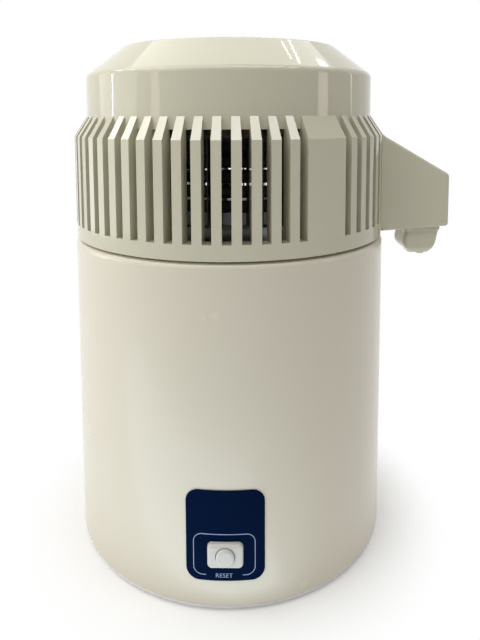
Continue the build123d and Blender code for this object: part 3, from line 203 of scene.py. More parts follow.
class Varying:
    """A number that varies over a surface. Sums on it add Math nodes."""

    def __init__(self, sheet, socket):
        self.sheet = sheet
        self.socket = socket

    def _sum(self, operation, *terms):
        node = self.sheet.node("ShaderNodeMath", {"operation": operation}, dict(enumerate(terms)))
        return Varying(self.sheet, node.outputs[0])

    def __add__(self, other):
        return self._sum("ADD", self, other)

    def __radd__(self, other):
        return self._sum("ADD", other, self)

    def __sub__(self, other):
        return self._sum("SUBTRACT", self, other)

    def __rsub__(self, other):
        return self._sum("SUBTRACT", other, self)

    def __mul__(self, other):
        return self._sum("MULTIPLY", self, other)

    def __rmul__(self, other):
        return self._sum("MULTIPLY", other, self)

    def __pow__(self, other):
        return self._sum("POWER", self, other)

    def sine(self):
        return self._sum("SINE", self)

    def wave(self):
        """Its sine, brought between 0 and 1."""
        return self.sine() * 0.5 + 0.5

    def greater_of(self, other):
        return self._sum("MAXIMUM", self, other)

    def step(self, low, high):
        """0 below low and 1 above high, with a smooth rise between."""
        node = self.sheet.node(
            "ShaderNodeMapRange",
            {"interpolation_type": "SMOOTHSTEP"},
            {"Value": self, "From Min": low, "From Max": high},
        )
        return Varying(self.sheet, node.outputs["Result"])


class NodeSheet:
    """A node tree that is filled one node at a time."""

    def __init__(self, tree):
        self.tree = tree
        tree.nodes.clear()

    def node(self, kind, settings=None, sockets=None):
        """Adds a node: its settings first, then a value or a link for each socket named."""
        node = self.tree.nodes.new(kind)
        for name, value in (settings or {}).items():
            setattr(node, name, value)
        for name, value in (sockets or {}).items():
            if isinstance(value, Varying):
                value = value.socket
            if isinstance(value, bpy.types.NodeSocket):
                self.tree.links.new(value, node.inputs[name])
            elif value is not None:
                node.inputs[name].default_value = value
        return node

    def place(self):
        """The point on the surface, in metres."""
        return self.node("ShaderNodeTexCoord").outputs["Object"]

    def parts_of(self, vector):
        """The three numbers of a vector."""
        node = self.node("ShaderNodeSeparateXYZ", sockets={0: vector})
        return [Varying(self, socket) for socket in node.outputs]

    def joined(self, x, y, z):
        return self.node("ShaderNodeCombineXYZ", sockets={0: x, 1: y, 2: z}).outputs[0]

    def stretched(self, vector, scale):
        """A pattern's coordinates, stretched."""
        return self.node(
            "ShaderNodeMapping", {"vector_type": "POINT"}, {"Vector": vector, "Scale": scale}
        ).outputs[0]

    def noise(self, vector, size, detail=2.0, roughness=0.5):
        """Soft noise, 0 to 1, with features of about that size in metres."""
        sockets = {"Vector": vector, "Scale": 1 / size, "Detail": detail, "Roughness": roughness}
        node = self.node("ShaderNodeTexNoise", sockets=sockets)
        return Varying(self, node.outputs[0])

    def cells(self, vector, size):
        """Distance from the middle of the nearest cell, in cells."""
        node = self.node("ShaderNodeTexVoronoi", sockets={"Vector": vector, "Scale": 1 / size})
        return Varying(self, node.outputs["Distance"])

    def mixed(self, first, second, share):
        """One colour going over to another by a share."""
        first, second = (
            (*c, 1) if isinstance(c, tuple) and len(c) == 3 else c for c in (first, second)
        )
        sockets = {MIX_SHARE: share, MIX_FIRST: first, MIX_SECOND: second}
        return self.node("ShaderNodeMix", {"data_type": "RGBA"}, sockets).outputs[MIX_RESULT]

    def raised(self, height, depth, under=None):
        """A surface normal for a relief, whose height of 1 stands that deep in metres."""
        return self.node(
            "ShaderNodeBump", sockets={"Height": height, "Distance": depth, "Normal": under}
        ).outputs[0]


class Finish(NodeSheet):
    """The material of one of the distiller's surfaces."""

    SOCKETS = {"colour": "Base Color", "roughness": "Roughness", "normal": "Normal"}

    def __init__(self, name, **fixed):
        self.material = bpy.data.materials.new(name)
        self.material.use_nodes = True
        super().__init__(self.material.node_tree)
        self.shader = self.node("ShaderNodeBsdfPrincipled", sockets=fixed)
        self.node("ShaderNodeOutputMaterial", sockets={"Surface": self.shader.outputs[0]})

    def set(self, **varying):
        """Links what varies over the surface to the shader."""
        for name, value in varying.items():
            value = value.socket if isinstance(value, Varying) else value
            self.tree.links.new(value, self.shader.inputs[self.SOCKETS[name]])
        return self.material


def from_axis(x, y):
    """How far a point lies from the distiller's axis."""
    return (x * x + y * y) ** 0.5


# ---------------------------------------------------------------- finishes

# Pitches of fine patterns, in metres
WIRE_PITCH = 0.0007
LEAF_PITCH = 0.0005
WELD_PITCH = 0.0013
FIBRE_SIZE = 0.00022

# Drawn lines: how they drift along x and y, and how much wider than the fine ones the broad are
DRIFT_X, DRIFT_Y, BROAD_LINES = 0.004, 0.003, 14

# Radians of the waves that a turning tool leaves, for each metre
TOOL_MARKS = 9000

# How much deeper the waves of the casing's sheet are than its orange peel
SHEET_WAVES = 14

# Heights between which dust gathers on the condenser's fins
FIN_DUST = (0.236, 0.300)


def moulded_gloss(name, colour, roughness):
    """Polished injection moulding: faint flow marks, a very fine peel and a few dull flecks."""
    finish = Finish(name, **{"Specular IOR Level": 0.4})
    place = finish.place()
    along = finish.stretched(place, (1, 1, 0.35))
    flow = finish.noise(along, size=0.045, detail=3, roughness=0.55)
    fleck = finish.cells(place, size=0.0022).step(0.16, 0.05)
    base = finish.mixed(toned(colour, 0.975, 0.004), toned(colour, 1.02, -0.002), flow)
    base = finish.mixed(base, toned(colour, 0.9), fleck * 0.35)
    handled = finish.noise(place, size=0.012, detail=4, roughness=0.6)
    peel = finish.noise(place, size=0.0017, detail=2, roughness=0.4)
    swell = finish.noise(place, size=0.009, detail=1)
    return finish.set(
        colour=base,
        roughness=roughness * 0.8 + handled * roughness * 0.45,
        normal=finish.raised(peel + swell * 2.5, depth=0.0000022),
    )


def stoved_enamel(name, colour, peel_height):
    """Glossy enamel on rolled sheet: orange peel over the long waves of the sheet."""
    coat = {"Coat Weight": 0.2, "Coat Roughness": 0.06, "Coat IOR": 1.5}
    finish = Finish(name, **{"Specular IOR Level": 0.4}, **coat)
    place = finish.place()
    cloud = finish.noise(place, size=0.07, detail=3)
    pinhole = finish.cells(place, size=0.006).step(0.07, 0.02)
    base = finish.mixed(toned(colour, 0.98, 0.006), toned(colour, 1.012, -0.006), cloud)
    base = finish.mixed(base, toned(colour, 0.8, 0.03), pinhole * 0.4)
    peel = finish.noise(place, size=0.0032, detail=2, roughness=0.45)
    along = finish.stretched(place, (1, 1, 0.4))
    wave = finish.noise(along, size=0.05, detail=1, roughness=0.4)
    sheet = finish.raised(wave, depth=peel_height * SHEET_WAVES)
    return finish.set(
        colour=base,
        roughness=0.2 + finish.noise(place, size=0.02, detail=3) * 0.1,
        normal=finish.raised(peel, depth=peel_height, under=sheet),
    )


def eroded_plastic(name, colour, roughness, grain=0.0004, depth=0.000012):
    """Plastic from a spark-eroded mould: an even fine grain and slightly uneven shine."""
    finish = Finish(name)
    place = finish.place()
    grains = finish.noise(place, size=grain, detail=3, roughness=0.6)
    tint = finish.noise(place, size=0.018, detail=3)
    base = finish.mixed(toned(colour, 0.955), toned(colour, 1.035), tint)
    base = finish.mixed(base, toned(colour, 0.86), grains.step(0.62, 0.8) * 0.3)
    return finish.set(
        colour=base,
        roughness=roughness + (grains - 0.5) * 0.16,
        normal=finish.raised(grains, depth),
    )


def printed_plate(name, colour):
    """Screen-printed label: ink with a fine mesh grain under a satin film."""
    finish = Finish(name, **{"Specular IOR Level": 0.015})
    place = finish.place()
    ink = finish.noise(place, size=0.0006, detail=3, roughness=0.6)
    worn = finish.noise(place, size=0.02, detail=4, roughness=0.6)
    base = finish.mixed(toned(colour, 0.85), toned(colour, 1.2), ink * 0.5 + worn * 0.5)
    return finish.set(
        colour=base, roughness=0.3 + worn * 0.16, normal=finish.raised(ink, depth=0.000004)
    )


def drawn_steel(name, colour, depth, roughness=0.26, line=0.00022, stain=0.05):
    """Spun or drawn metal: fine lines that run round the axis, with faint stains from heat."""
    finish = Finish(name, Metallic=1.0)
    place = finish.place()
    x, y, z = finish.parts_of(place)
    lines_at = finish.joined(from_axis(x, y), z, x * DRIFT_X + y * DRIFT_Y)
    lines = finish.noise(lines_at, size=line, detail=3, roughness=0.65)
    broad = finish.noise(lines_at, size=line * BROAD_LINES, detail=2)
    cloud = finish.noise(place, size=stain, detail=4, roughness=0.6)
    base = finish.mixed(toned(colour, 0.86), toned(colour, 1.05), lines * 0.6 + broad * 0.4)
    base = finish.mixed(base, toned(colour, 0.8, 0.05), cloud.step(0.55, 0.8) * 0.35)
    return finish.set(
        colour=base,
        roughness=roughness + lines * 0.12 + cloud * 0.08,
        normal=finish.raised(lines * 0.7 + broad * 0.3, depth),
    )


def plated_steel(name, colour):
    """Zinc-plated steel: a mottled pale blue and straw bloom over a dull rolled grain."""
    finish = Finish(name, Metallic=1.0)
    place = finish.place()
    bloom = finish.noise(place, size=0.006, detail=4, roughness=0.6)
    rolled = finish.stretched(place, (1, 0.12, 1))
    grain = finish.noise(rolled, size=0.0004, detail=3, roughness=0.6)
    blue, straw = toned(colour, 0.9, -0.04), toned(colour, 1.06, 0.05)
    return finish.set(
        colour=finish.mixed(blue, straw, bloom.step(0.3, 0.7)),
        roughness=0.3 + bloom * 0.18 + grain * 0.06,
        normal=finish.raised(grain, depth=0.000006),
    )


def turned_metal(name, colour, roughness, depth=0.000008):
    """Bare metal as cast and turned: pores between tool marks."""
    finish = Finish(name, Metallic=1.0)
    place = finish.place()
    x, y, z = finish.parts_of(place)
    marks = (from_axis(x, y) * TOOL_MARKS + z * TOOL_MARKS).wave()
    pores = finish.noise(place, size=0.0012, detail=4, roughness=0.65)
    return finish.set(
        colour=finish.mixed(toned(colour, 0.82), toned(colour, 1.06), pores),
        roughness=roughness + pores * 0.2,
        normal=finish.raised(marks * 0.4 + pores * 0.6, depth),
    )


def darkened_fin(name, colour):
    """Blackened aluminium strip in a colour kept darker than its coat as painted shade, with dust
    that settles towards the top.
    """
    finish = Finish(name, Metallic=0.5)
    place = finish.place()
    z = finish.parts_of(place)[2]
    dust = finish.noise(place, size=0.004, detail=4, roughness=0.65) * z.step(*FIN_DUST)
    drawn = finish.stretched(place, (1, 1, 0.08))
    grain = finish.noise(drawn, size=0.0005, detail=3, roughness=0.6)
    base = finish.mixed(toned(colour, 0.8), toned(colour, 1.3), grain)
    base = finish.mixed(base, swatch(96, 92, 82), dust.step(0.3, 0.8) * 0.5)
    return finish.set(
        colour=base, roughness=0.42 + dust * 0.3, normal=finish.raised(grain, depth=0.000008)
    )


def laminated_core(name, colour):
    """A stack of half-millimetre stampings, blued at their edges."""
    finish = Finish(name, Metallic=0.9)
    place = finish.place()
    z = finish.parts_of(place)[2]
    leaf = (z * (2 * math.pi / LEAF_PITCH)).wave()
    blue = finish.noise(place, size=0.007, detail=4, roughness=0.6)
    base = finish.mixed(toned(colour, 0.7, -0.08), toned(colour, 1.25, 0.04), blue)
    base = finish.mixed(toned(colour, 0.45), base, leaf.step(0.1, 0.5))
    return finish.set(
        colour=base, roughness=0.42 + blue * 0.15, normal=finish.raised(leaf, depth=0.00004)
    )


def wound_copper(name, colour):
    """Enamelled wire laid turn by turn across the coil leg."""
    finish = Finish(name, **{"Metallic": 0.85, "Coat Weight": 0.6, "Coat Roughness": 0.12})
    place = finish.place()
    x = finish.parts_of(place)[0]
    drift = finish.noise(place, size=0.01, detail=2) * 1.2
    turns = (x * (2 * math.pi / WIRE_PITCH) + drift).wave()
    lacquer = finish.noise(place, size=0.004, detail=3, roughness=0.6)
    base = finish.mixed(toned(colour, 0.8), toned(colour, 1.2, 0.04), lacquer)
    # Painted shade: the grooves between the turns of wire are darkened to three tenths of the
    # copper's colour
    base = finish.mixed(toned(colour, 0.3), base, turns.step(0.05, 0.55))
    return finish.set(
        colour=base, roughness=0.25 + lacquer * 0.12, normal=finish.raised(turns, depth=0.00018)
    )


def moulded_rubber(name, colour, bloom):
    """Rubber or silicone from a blasted mould, with a faint bloom."""
    finish = Finish(name)
    place = finish.place()
    grain = finish.noise(place, size=0.0005, detail=3, roughness=0.6)
    cloud = finish.noise(place, size=0.008, detail=4, roughness=0.6)
    return finish.set(
        colour=finish.mixed(toned(colour, 0.85), bloom, cloud.step(0.42, 0.85) * 0.45),
        roughness=0.6 + cloud * 0.2,
        normal=finish.raised(grain, depth=0.000018),
    )


def fired_ceramic(name, colour):
    """Unglazed steatite: chalky, with dark specks."""
    finish = Finish(name)
    place = finish.place()
    speck = finish.cells(place, size=0.0011).step(0.22, 0.08)
    chalk = finish.noise(place, size=0.0006, detail=4, roughness=0.7)
    base = finish.mixed(toned(colour, 0.93), toned(colour, 1.03), chalk)
    return finish.set(
        colour=finish.mixed(base, swatch(120, 108, 92), speck * 0.5),
        roughness=0.72 + chalk * 0.15,
        normal=finish.raised(chalk, depth=0.00003),
    )


def filter_cloth(name, colour, grain_size):
    """Non-woven cloth: crossed fibres, rows of weld points and charcoal showing faintly."""
    finish = Finish(name, **{"Sheen Weight": 0.25, "Sheen Roughness": 0.5})
    cloth = finish.node("ShaderNodeUVMap", {"uv_map": "cloth"}).outputs[0]
    u, v, _ = finish.parts_of(cloth)
    fibre, cross = (
        finish.noise(finish.stretched(cloth, lie), size=FIBRE_SIZE, detail=3, roughness=0.6)
        for lie in ((1, 0.1, 1), (0.1, 1, 1))
    )
    web = fibre * 0.5 + cross * 0.5
    rows = 2 * math.pi / WELD_PITCH
    weld = (((u + v) * rows).sine() * ((u - v) * rows).sine()).step(0.55, 0.85)
    grains = finish.cells(cloth, grain_size).step(0.55, 0.15)
    base = finish.mixed(toned(colour, 0.84), toned(colour, 1.04), web)
    base = finish.mixed(base, swatch(120, 120, 118), grains * 0.38)
    base = finish.mixed(base, toned(colour, 0.8), weld * 0.6)
    relief = web * 0.35 + (1 - weld) * 0.35 + grains * 0.3
    return finish.set(
        colour=base, roughness=0.78 + web * 0.12, normal=finish.raised(relief, depth=0.00012)
    )


def dress(finish, *names):
    """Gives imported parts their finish."""
    for name in names:
        for slot in NODES[name].material_slots:
            slot.material = finish


def place_piece(name, form, finish, body):
    """Makes an object of a finished form and lets it ride with its body."""
    mesh = bpy.data.meshes.new(name)
    form.to_mesh(mesh)
    form.free()
    for polygon in mesh.polygons:
        polygon.use_smooth = True
    mesh.materials.append(finish)
    piece = bpy.data.objects.new(name, mesh)
    bpy.context.scene.collection.objects.link(piece)
    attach(piece, body)
    return piece


def settings(context, group):
    return getattr(context.scene, "distiller_" + group)


# ---------------------------------------------------------------- the pieces

BRASS = (0.70, 0.55, 0.27)
ZINC = (0.56, 0.57, 0.58)

# The word's letters: their spacing, and how much taller they stand than the font draws them
LETTER_SPACING, LETTER_STRETCH = 1.06, 1.02

# Cuts across the print, so that it bends with the label, and how deep it sits in the film
BEND_STEP, PRINT_SUNK = 0.0015, 0.00004
CORNER_SEGMENTS = 10


class DISTILLER_OT_head_moulding(bpy.types.Operator):
    """Finishes the louvred head moulding and the filter cup, which share one plastic"""

    bl_idname = "distiller.head_moulding"
    bl_label = "Head moulding"

    def execute(self, context):
        chosen = settings(context, "finishes")
        ivory = moulded_gloss("head_ivory", tuple(chosen.head_ivory), chosen.moulding_gloss)
        dress(ivory, "head_shell", "filter_cup")
        return {"FINISHED"}


class DISTILLER_OT_boiler_casing(bpy.types.Operator):
    """Finishes the enamelled casing, its floor plate and the rubber feet"""

    bl_idname = "distiller.boiler_casing"
    bl_label = "Boiler casing"

    def execute(self, context):
        chosen = settings(context, "finishes")
        enamel = stoved_enamel("casing_enamel", tuple(chosen.enamel_ivory), chosen.enamel_peel)
        dress(enamel, "base_shell")
        grey = eroded_plastic("floor_plate_plastic", tuple(chosen.floor_plate_grey), 0.42)
        dress(grey, "bottom_plate")
        rubber = moulded_rubber("foot_rubber", swatch(34, 34, 35), swatch(70, 69, 66))
        dress(rubber, "rubber_feet", "lead_gland")
        return {"FINISHED"}


class DISTILLER_OT_boiler_works(bpy.types.Operator):
    """Finishes the boiling chamber and what hangs under it"""

    bl_idname = "distiller.boiler_works"
    bl_label = "Boiler works"

    def execute(self, context):
        depth = settings(context, "finishes").brushing_depth
        dress(drawn_steel("chamber_steel", (0.60, 0.60, 0.585), depth), "boiling_chamber")
        dress(turned_metal("heater_aluminium", (0.62, 0.63, 0.64), 0.34), "heater_plate")
        sheath = drawn_steel("element_sheath", (0.42, 0.40, 0.37), depth, 0.36, stain=0.012)
        dress(sheath, "heater_element")
        zinc = plated_steel("boiler_zinc", ZINC)
        dress(zinc, "tie_rods", "heat_shield", "shield_nuts", "base_nuts")
        dress(eroded_plastic("thermostat_phenolic", swatch(44, 40, 36), 0.5), "thermostats")
        dress(fired_ceramic("terminal_ceramic", swatch(226, 222, 208)), "terminal_block")
        return {"FINISHED"}


class DISTILLER_OT_control_group(bpy.types.Operator):
    """Finishes the control label and the reset switch, and prints the outline and the word"""

    bl_idname = "distiller.control_group"
    bl_label = "Control label and switch"

    def execute(self, context):
        chosen = settings(context, "finishes")
        label = settings(context, "label")
        dress(printed_plate("label_film", tuple(chosen.label_navy)), "control_label")
        white = eroded_plastic("switch_plastic", tuple(chosen.switch_white), 0.2, depth=0.000004)
        dress(white, "reset_switch", "reset_button")
        dress(turned_metal("switch_brass", BRASS, 0.3), "switch_tags")
        ink = eroded_plastic("label_ink", tuple(chosen.label_print), 0.4, depth=0.000003)
        place_piece("label_outline", self.outline(label), ink, "base")
        place_piece("reset_lettering", self.lettering(label), ink, "base")
        return {"FINISHED"}

    @staticmethod
    def outline(label):
        """A rounded frame of fine line, open in the middle of its lower side."""
        form = bmesh.new()
        across, rise = label.outline_width / 2, (label.outline_top - label.outline_bottom) / 2
        middle = (label.outline_top + label.outline_bottom) / 2
        bmesh.ops.create_grid(form, x_segments=1, y_segments=1, size=1.0)
        bmesh.ops.scale(form, vec=(across, rise, 1), verts=form.verts)
        bmesh.ops.translate(form, vec=(0, middle, 0), verts=form.verts)
        bmesh.ops.bevel(
            form,
            geom=form.verts[:],
            offset=label.outline_corner,
            offset_type="OFFSET",
            affect="VERTICES",
            segments=CORNER_SEGMENTS,
            profile=0.5,
            material=-1,
        )
        bmesh.ops.inset_region(
            form,
            faces=form.faces[:],
            thickness=label.outline_line,
            use_even_offset=True,
            use_boundary=True,
        )
        inner = max(form.faces, key=lambda face: face.calc_area())
        bmesh.ops.delete(form, geom=[inner], context="FACES")
        for side in (-1, 1):
            cut_across(form, side * label.outline_gap / 2)
        gone = [
            face
            for face in form.faces
            if abs(face.calc_center_median().x) < label.outline_gap / 2
            and face.calc_center_median().y < middle
        ]
        bmesh.ops.delete(form, geom=gone, context="FACES")
        return print_on_label(form, label)

    @staticmethod
    def lettering(label):
        """The word under the button, as thin raised ink."""
        curve = bpy.data.curves.new("lettering_line", "FONT")
        curve.body = label.word
        curve.align_x = "CENTER"
        curve.space_character = LETTER_SPACING
        curve.resolution_u = 6
        drawn = bpy.data.objects.new("lettering_line", curve)
        bpy.context.scene.collection.objects.link(drawn)
        bpy.context.view_layer.update()
        mesh = bpy.data.meshes.new_from_object(drawn)
        form = bmesh.new()
        form.from_mesh(mesh)
        bpy.data.objects.remove(drawn)
        bpy.data.meshes.remove(mesh)
        bmesh.ops.remove_doubles(form, verts=form.verts, dist=1e-5)
        width = max(v.co.x for v in form.verts) - min(v.co.x for v in form.verts)
        size = label.word_width / width
        bmesh.ops.scale(form, vec=(size, size * LETTER_STRETCH, 1), verts=form.verts)
        middle = (max(v.co.x for v in form.verts) + min(v.co.x for v in form.verts)) / 2
        bmesh.ops.translate(form, vec=(-middle, label.word_bottom, 0), verts=form.verts)
        return print_on_label(form, label)


def cut_across(form, x):
    """Cuts a flat form along an upright line."""
    bmesh.ops.bisect_plane(
        form,
        geom=form.verts[:] + form.edges[:] + form.faces[:],
        dist=1e-7,
        plane_co=(x, 0, 0),
        plane_no=(1, 0, 0),
    )


def print_on_label(form, label):
    """Gives a flat form the ink's thickness and bends it round the label's face."""
    low = min(v.co.x for v in form.verts)
    high = max(v.co.x for v in form.verts)
    steps = max(2, round((high - low) / BEND_STEP))
    for i in range(1, steps):
        cut_across(form, low + (high - low) * i / steps)
    bmesh.ops.recalc_face_normals(form, faces=form.faces)
    if sum(face.normal.z for face in form.faces) < 0:
        bmesh.ops.reverse_faces(form, faces=form.faces)
    bmesh.ops.translate(form, vec=(0, 0, -PRINT_SUNK), verts=form.verts)
    thickness = label.print_height + PRINT_SUNK
    bmesh.ops.solidify(form, geom=form.faces[:], thickness=-thickness)
    for vert in form.verts:
        reach = label.face_radius + vert.co.z
        turn = label.turn + (vert.co.x - label.print_shift) / label.face_radius
        vert.co = (reach * math.cos(turn), reach * math.sin(turn), vert.co.y)
    bmesh.ops.recalc_face_normals(form, faces=form.faces)
    return form


class DISTILLER_OT_rear_panel(bpy.types.Operator):
    """Finishes the service panel with its mains inlet and fan outlet"""

    bl_idname = "distiller.rear_panel"
    bl_label = "Rear panel"

    def execute(self, context):
        chosen = settings(context, "finishes")
        white = eroded_plastic("panel_plastic", tuple(chosen.switch_white), 0.4, grain=0.0006)
        dress(white, "service_panel")
        black = eroded_plastic("socket_plastic", swatch(30, 30, 31), 0.45)
        dress(black, "mains_inlet", "fan_socket")
        pale = turned_metal("contact_brass", (0.72, 0.62, 0.42), 0.26, depth=0.000004)
        dress(pale, "inlet_pins", "socket_contacts")
        return {"FINISHED"}


class DISTILLER_OT_condenser(bpy.types.Operator):
    """Finishes the steam plate, the coil, its fins and their brackets"""

    bl_idname = "distiller.condenser"
    bl_label = "Condenser"

    def execute(self, context):
        depth = settings(context, "finishes").brushing_depth
        plate = drawn_steel("plate_steel", (0.58, 0.58, 0.57), depth)
        dress(plate, "steam_plate", "splash_baffle")
        # The coil's steel is painted almost black: painted shade for the dark inside of the head,
        # not the colour of bare steel
        coil = drawn_steel("coil_steel", (0.055, 0.052, 0.046), depth, 0.68, line=0.0003)
        dress(coil, "condenser_coil")
        # The fins' colour is their black coat made darker still: partly painted shade for the dark
        # inside of the head
        dress(darkened_fin("fin_aluminium", swatch(50, 49, 45)), "condenser_fins")
        dress(turned_metal("fitting_brass", BRASS, 0.28), "steam_fitting")
        dress(plated_steel("head_zinc", ZINC), "coil_brackets", "plate_screws")
        gasket = moulded_rubber("gasket_silicone", swatch(222, 222, 216), swatch(236, 236, 232))
        dress(gasket, "lid_gasket")
        return {"FINISHED"}


class DISTILLER_OT_fan_motor(bpy.types.Operator):
    """Finishes the fan, its motor and the bracket that carries them"""

    bl_idname = "distiller.fan_motor"
    bl_label = "Fan and motor"

    def execute(self, context):
        zinc = plated_steel("motor_zinc", (0.54, 0.55, 0.56))
        dress(zinc, "fan_bracket", "bracket_screws", "motor_screws", "fan_shaft")
        dress(zinc, "upper_bridge", "lower_bridge")
        dress(laminated_core("core_laminations", (0.17, 0.175, 0.19)), "motor_core")
        # The winding's copper is painted near black-brown: painted shade for the dark inside of
        # the head, not the colour of the wire
        dress(wound_copper("winding_copper", (0.15, 0.075, 0.04)), "motor_winding")
        dress(turned_metal("rotor_aluminium", (0.60, 0.61, 0.62), 0.36), "motor_rotor")
        black = eroded_plastic("fan_plastic", swatch(32, 32, 34), 0.4, grain=0.0008)
        dress(black, "fan_impeller")
        return {"FINISHED"}


# The sachet: how its faces swell (towards the hem, then over all), pucker along the hem and lump
# over the grains, and how much of its room it fills
SWELL_EDGE, SWELL_ROUND = 2.6, 0.62
PUCKER_COUNT, PUCKER_HEIGHT, PUCKER_SHARE = 19, 0.5, 0.6
LUMPS_ACROSS, LUMPS_ALONG, LUMP_HEIGHT = 7.1, 6.3, 0.035
ROOM_ACROSS, ROOM_HIGH = 0.99, 0.95


class DISTILLER_OT_charcoal_sachet(bpy.types.Operator):
    """Makes the charcoal sachet in the filter cup: a crowned pillow with a sealed hem"""

    bl_idname = "distiller.charcoal_sachet"
    bl_label = "Charcoal sachet"

    def execute(self, context):
        sachet = settings(context, "sachet")
        low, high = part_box("charcoal_sachet")
        cloth = filter_cloth("sachet_cloth", swatch(222, 221, 212), sachet.grain_size)
        form = self.pillow(sachet, low, high)
        piece = place_piece("charcoal_pillow", form, cloth, "filter_cup")
        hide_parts("charcoal_sachet")
        return {"FINISHED"}

    @staticmethod
    def pillow(sachet, low, high):
        """Two faces of cloth swelled apart over their grains and welded along the hem."""
        form = bmesh.new()
        middle = (low + high) / 2
        half = (high - low) / 2
        half_sheet = sachet.hem_sheet / 2
        hem = sachet.hem_width / half.x
        cloth = form.loops.layers.uv.new("cloth")
        bmesh.ops.create_grid(form, x_segments=sachet.cells, y_segments=sachet.cells, size=1.0)
        bmesh.ops.solidify(form, geom=form.faces[:], thickness=0.02)
        bmesh.ops.recalc_face_normals(form, faces=form.faces)
        for face in form.faces:
            for loop in face.loops:
                loop[cloth].uv = (loop.vert.co.x * half.x, loop.vert.co.y * half.y)
        level = sum(v.co.z for v in form.verts) / len(form.verts)
        for vert in form.verts:
            x, y = vert.co.x, vert.co.y
            side = 1 if vert.co.z > level else -1
            inside_x = min(1.0, abs(x) / (1 - hem))
            inside_y = min(1.0, abs(y) / (1 - hem))
            swell = ((1 - inside_x**SWELL_EDGE) * (1 - inside_y**SWELL_EDGE)) ** SWELL_ROUND
            edge = max(abs(x), abs(y))
            folds = math.sin(PUCKER_COUNT * math.atan2(y, x) + 2 * side)
            pucker = folds * edge**4 * (1 - edge) * PUCKER_HEIGHT
            lumps = math.sin(LUMPS_ACROSS * x + 1.3 * side) * math.sin(LUMPS_ALONG * y + 0.7)
            rise = swell * (1 + lumps * LUMP_HEIGHT) + pucker * swell**0.3 * PUCKER_SHARE
            narrow_x = 1 - sachet.draw_in * (1 - y * y) * abs(x) ** 3
            narrow_y = 1 - sachet.draw_in * (1 - x * x) * abs(y) ** 3
            swollen = max(rise, 0) * (half.z - 2 * half_sheet) * ROOM_HIGH
            vert.co = (
                middle.x + x * half.x * narrow_x * ROOM_ACROSS,
                middle.y + y * half.y * narrow_y * ROOM_ACROSS,
                middle.z + side * (half_sheet + swollen),
            )
        bmesh.ops.recalc_face_normals(form, faces=form.faces)
        return form


# ---------------------------------------------------------------- the studio

WHITE = (1, 1, 1, 1)
ROOM_TINT = (1.0, 0.965, 0.90, 1)

# Shares of their radii: where the bright table top has faded out, and where the shadow starts to
TABLE_FADE, SHADOW_CORE = 1.6, 0.55

# Large lamps turned to the middle of the distiller: name, place, size, the stage's name for the
# power, and colour
MIDDLE = (0, 0, 0.2)
SOFTBOXES = (
    ("top_softbox", (-0.1, 0.12, 1.35), (2.4, 1.7), "top_power", (0.98, 1.0, 0.965)),
    ("key_softbox", (-0.95, -0.75, 0.95), (0.7, 0.7), "key_power", (1.0, 0.975, 0.92)),
    ("side_softbox", (-1.2, 0.1, 0.35), (1.0, 0.8), "side_power", (1, 1, 1)),
)

# The lamp that stands for the light off the table, turned straight up: place, size and colour
TABLE_BOUNCE = ((-0.21, -0.205, 0.004), (0.5, 0.16), (0.70, 0.86, 1.0))

# How far from the distiller the lamps hang that show as reflections
MIRROR_REACH = 1.15

# Lamps mirrored on the cap: turn in degrees round from the front, width, and share of the
# strips' power; then the radius and height at which they are mirrored, how much higher they hang
# and how long they are
CAP_STRIPS = ((-46.6, 0.02, 0.6), (-27.2, 0.12, 0.3), (31.5, 0.2, 0.6), (46.7, 0.025, 0.1))
CAP_RADIUS, CAP_HEIGHT, STRIP_LIFT, STRIP_LENGTH = 0.106, 0.32, 0.09, 0.3
STRIP_PINK = (1.0, 0.87, 0.83)

# Ceiling tubes mirrored on the cone of the roof: two ends, a width, and a share of the strips'
# power; and the point of the roof that they are turned to
ROOF_TUBES = (
    ((0.401, 0.482, 1.293), (0.425, 0.431, 1.293), 0.007, 0.016),
    ((0.447, 0.543, 1.239), (0.463, 0.453, 1.263), 0.009, 0.035),
    ((0.547, 0.578, 1.143), (0.570, 0.625, 1.090), 0.02, 0.04),
)
ROOF_POINT = (0.037, -0.083, 0.35)

# Ceiling lamps mirrored on the slopes of the louvres: turns, the slopes' radius, height and rise
# in degrees, and the lamps' size
LOUVRE_PANELS = tuple(range(-42, 19, 6))
SLOPE_RADIUS, SLOPE_HEIGHT, SLOPE_RISE = 0.1105, 0.303, 32.7
PANEL_SIZE = (0.2, 0.14)


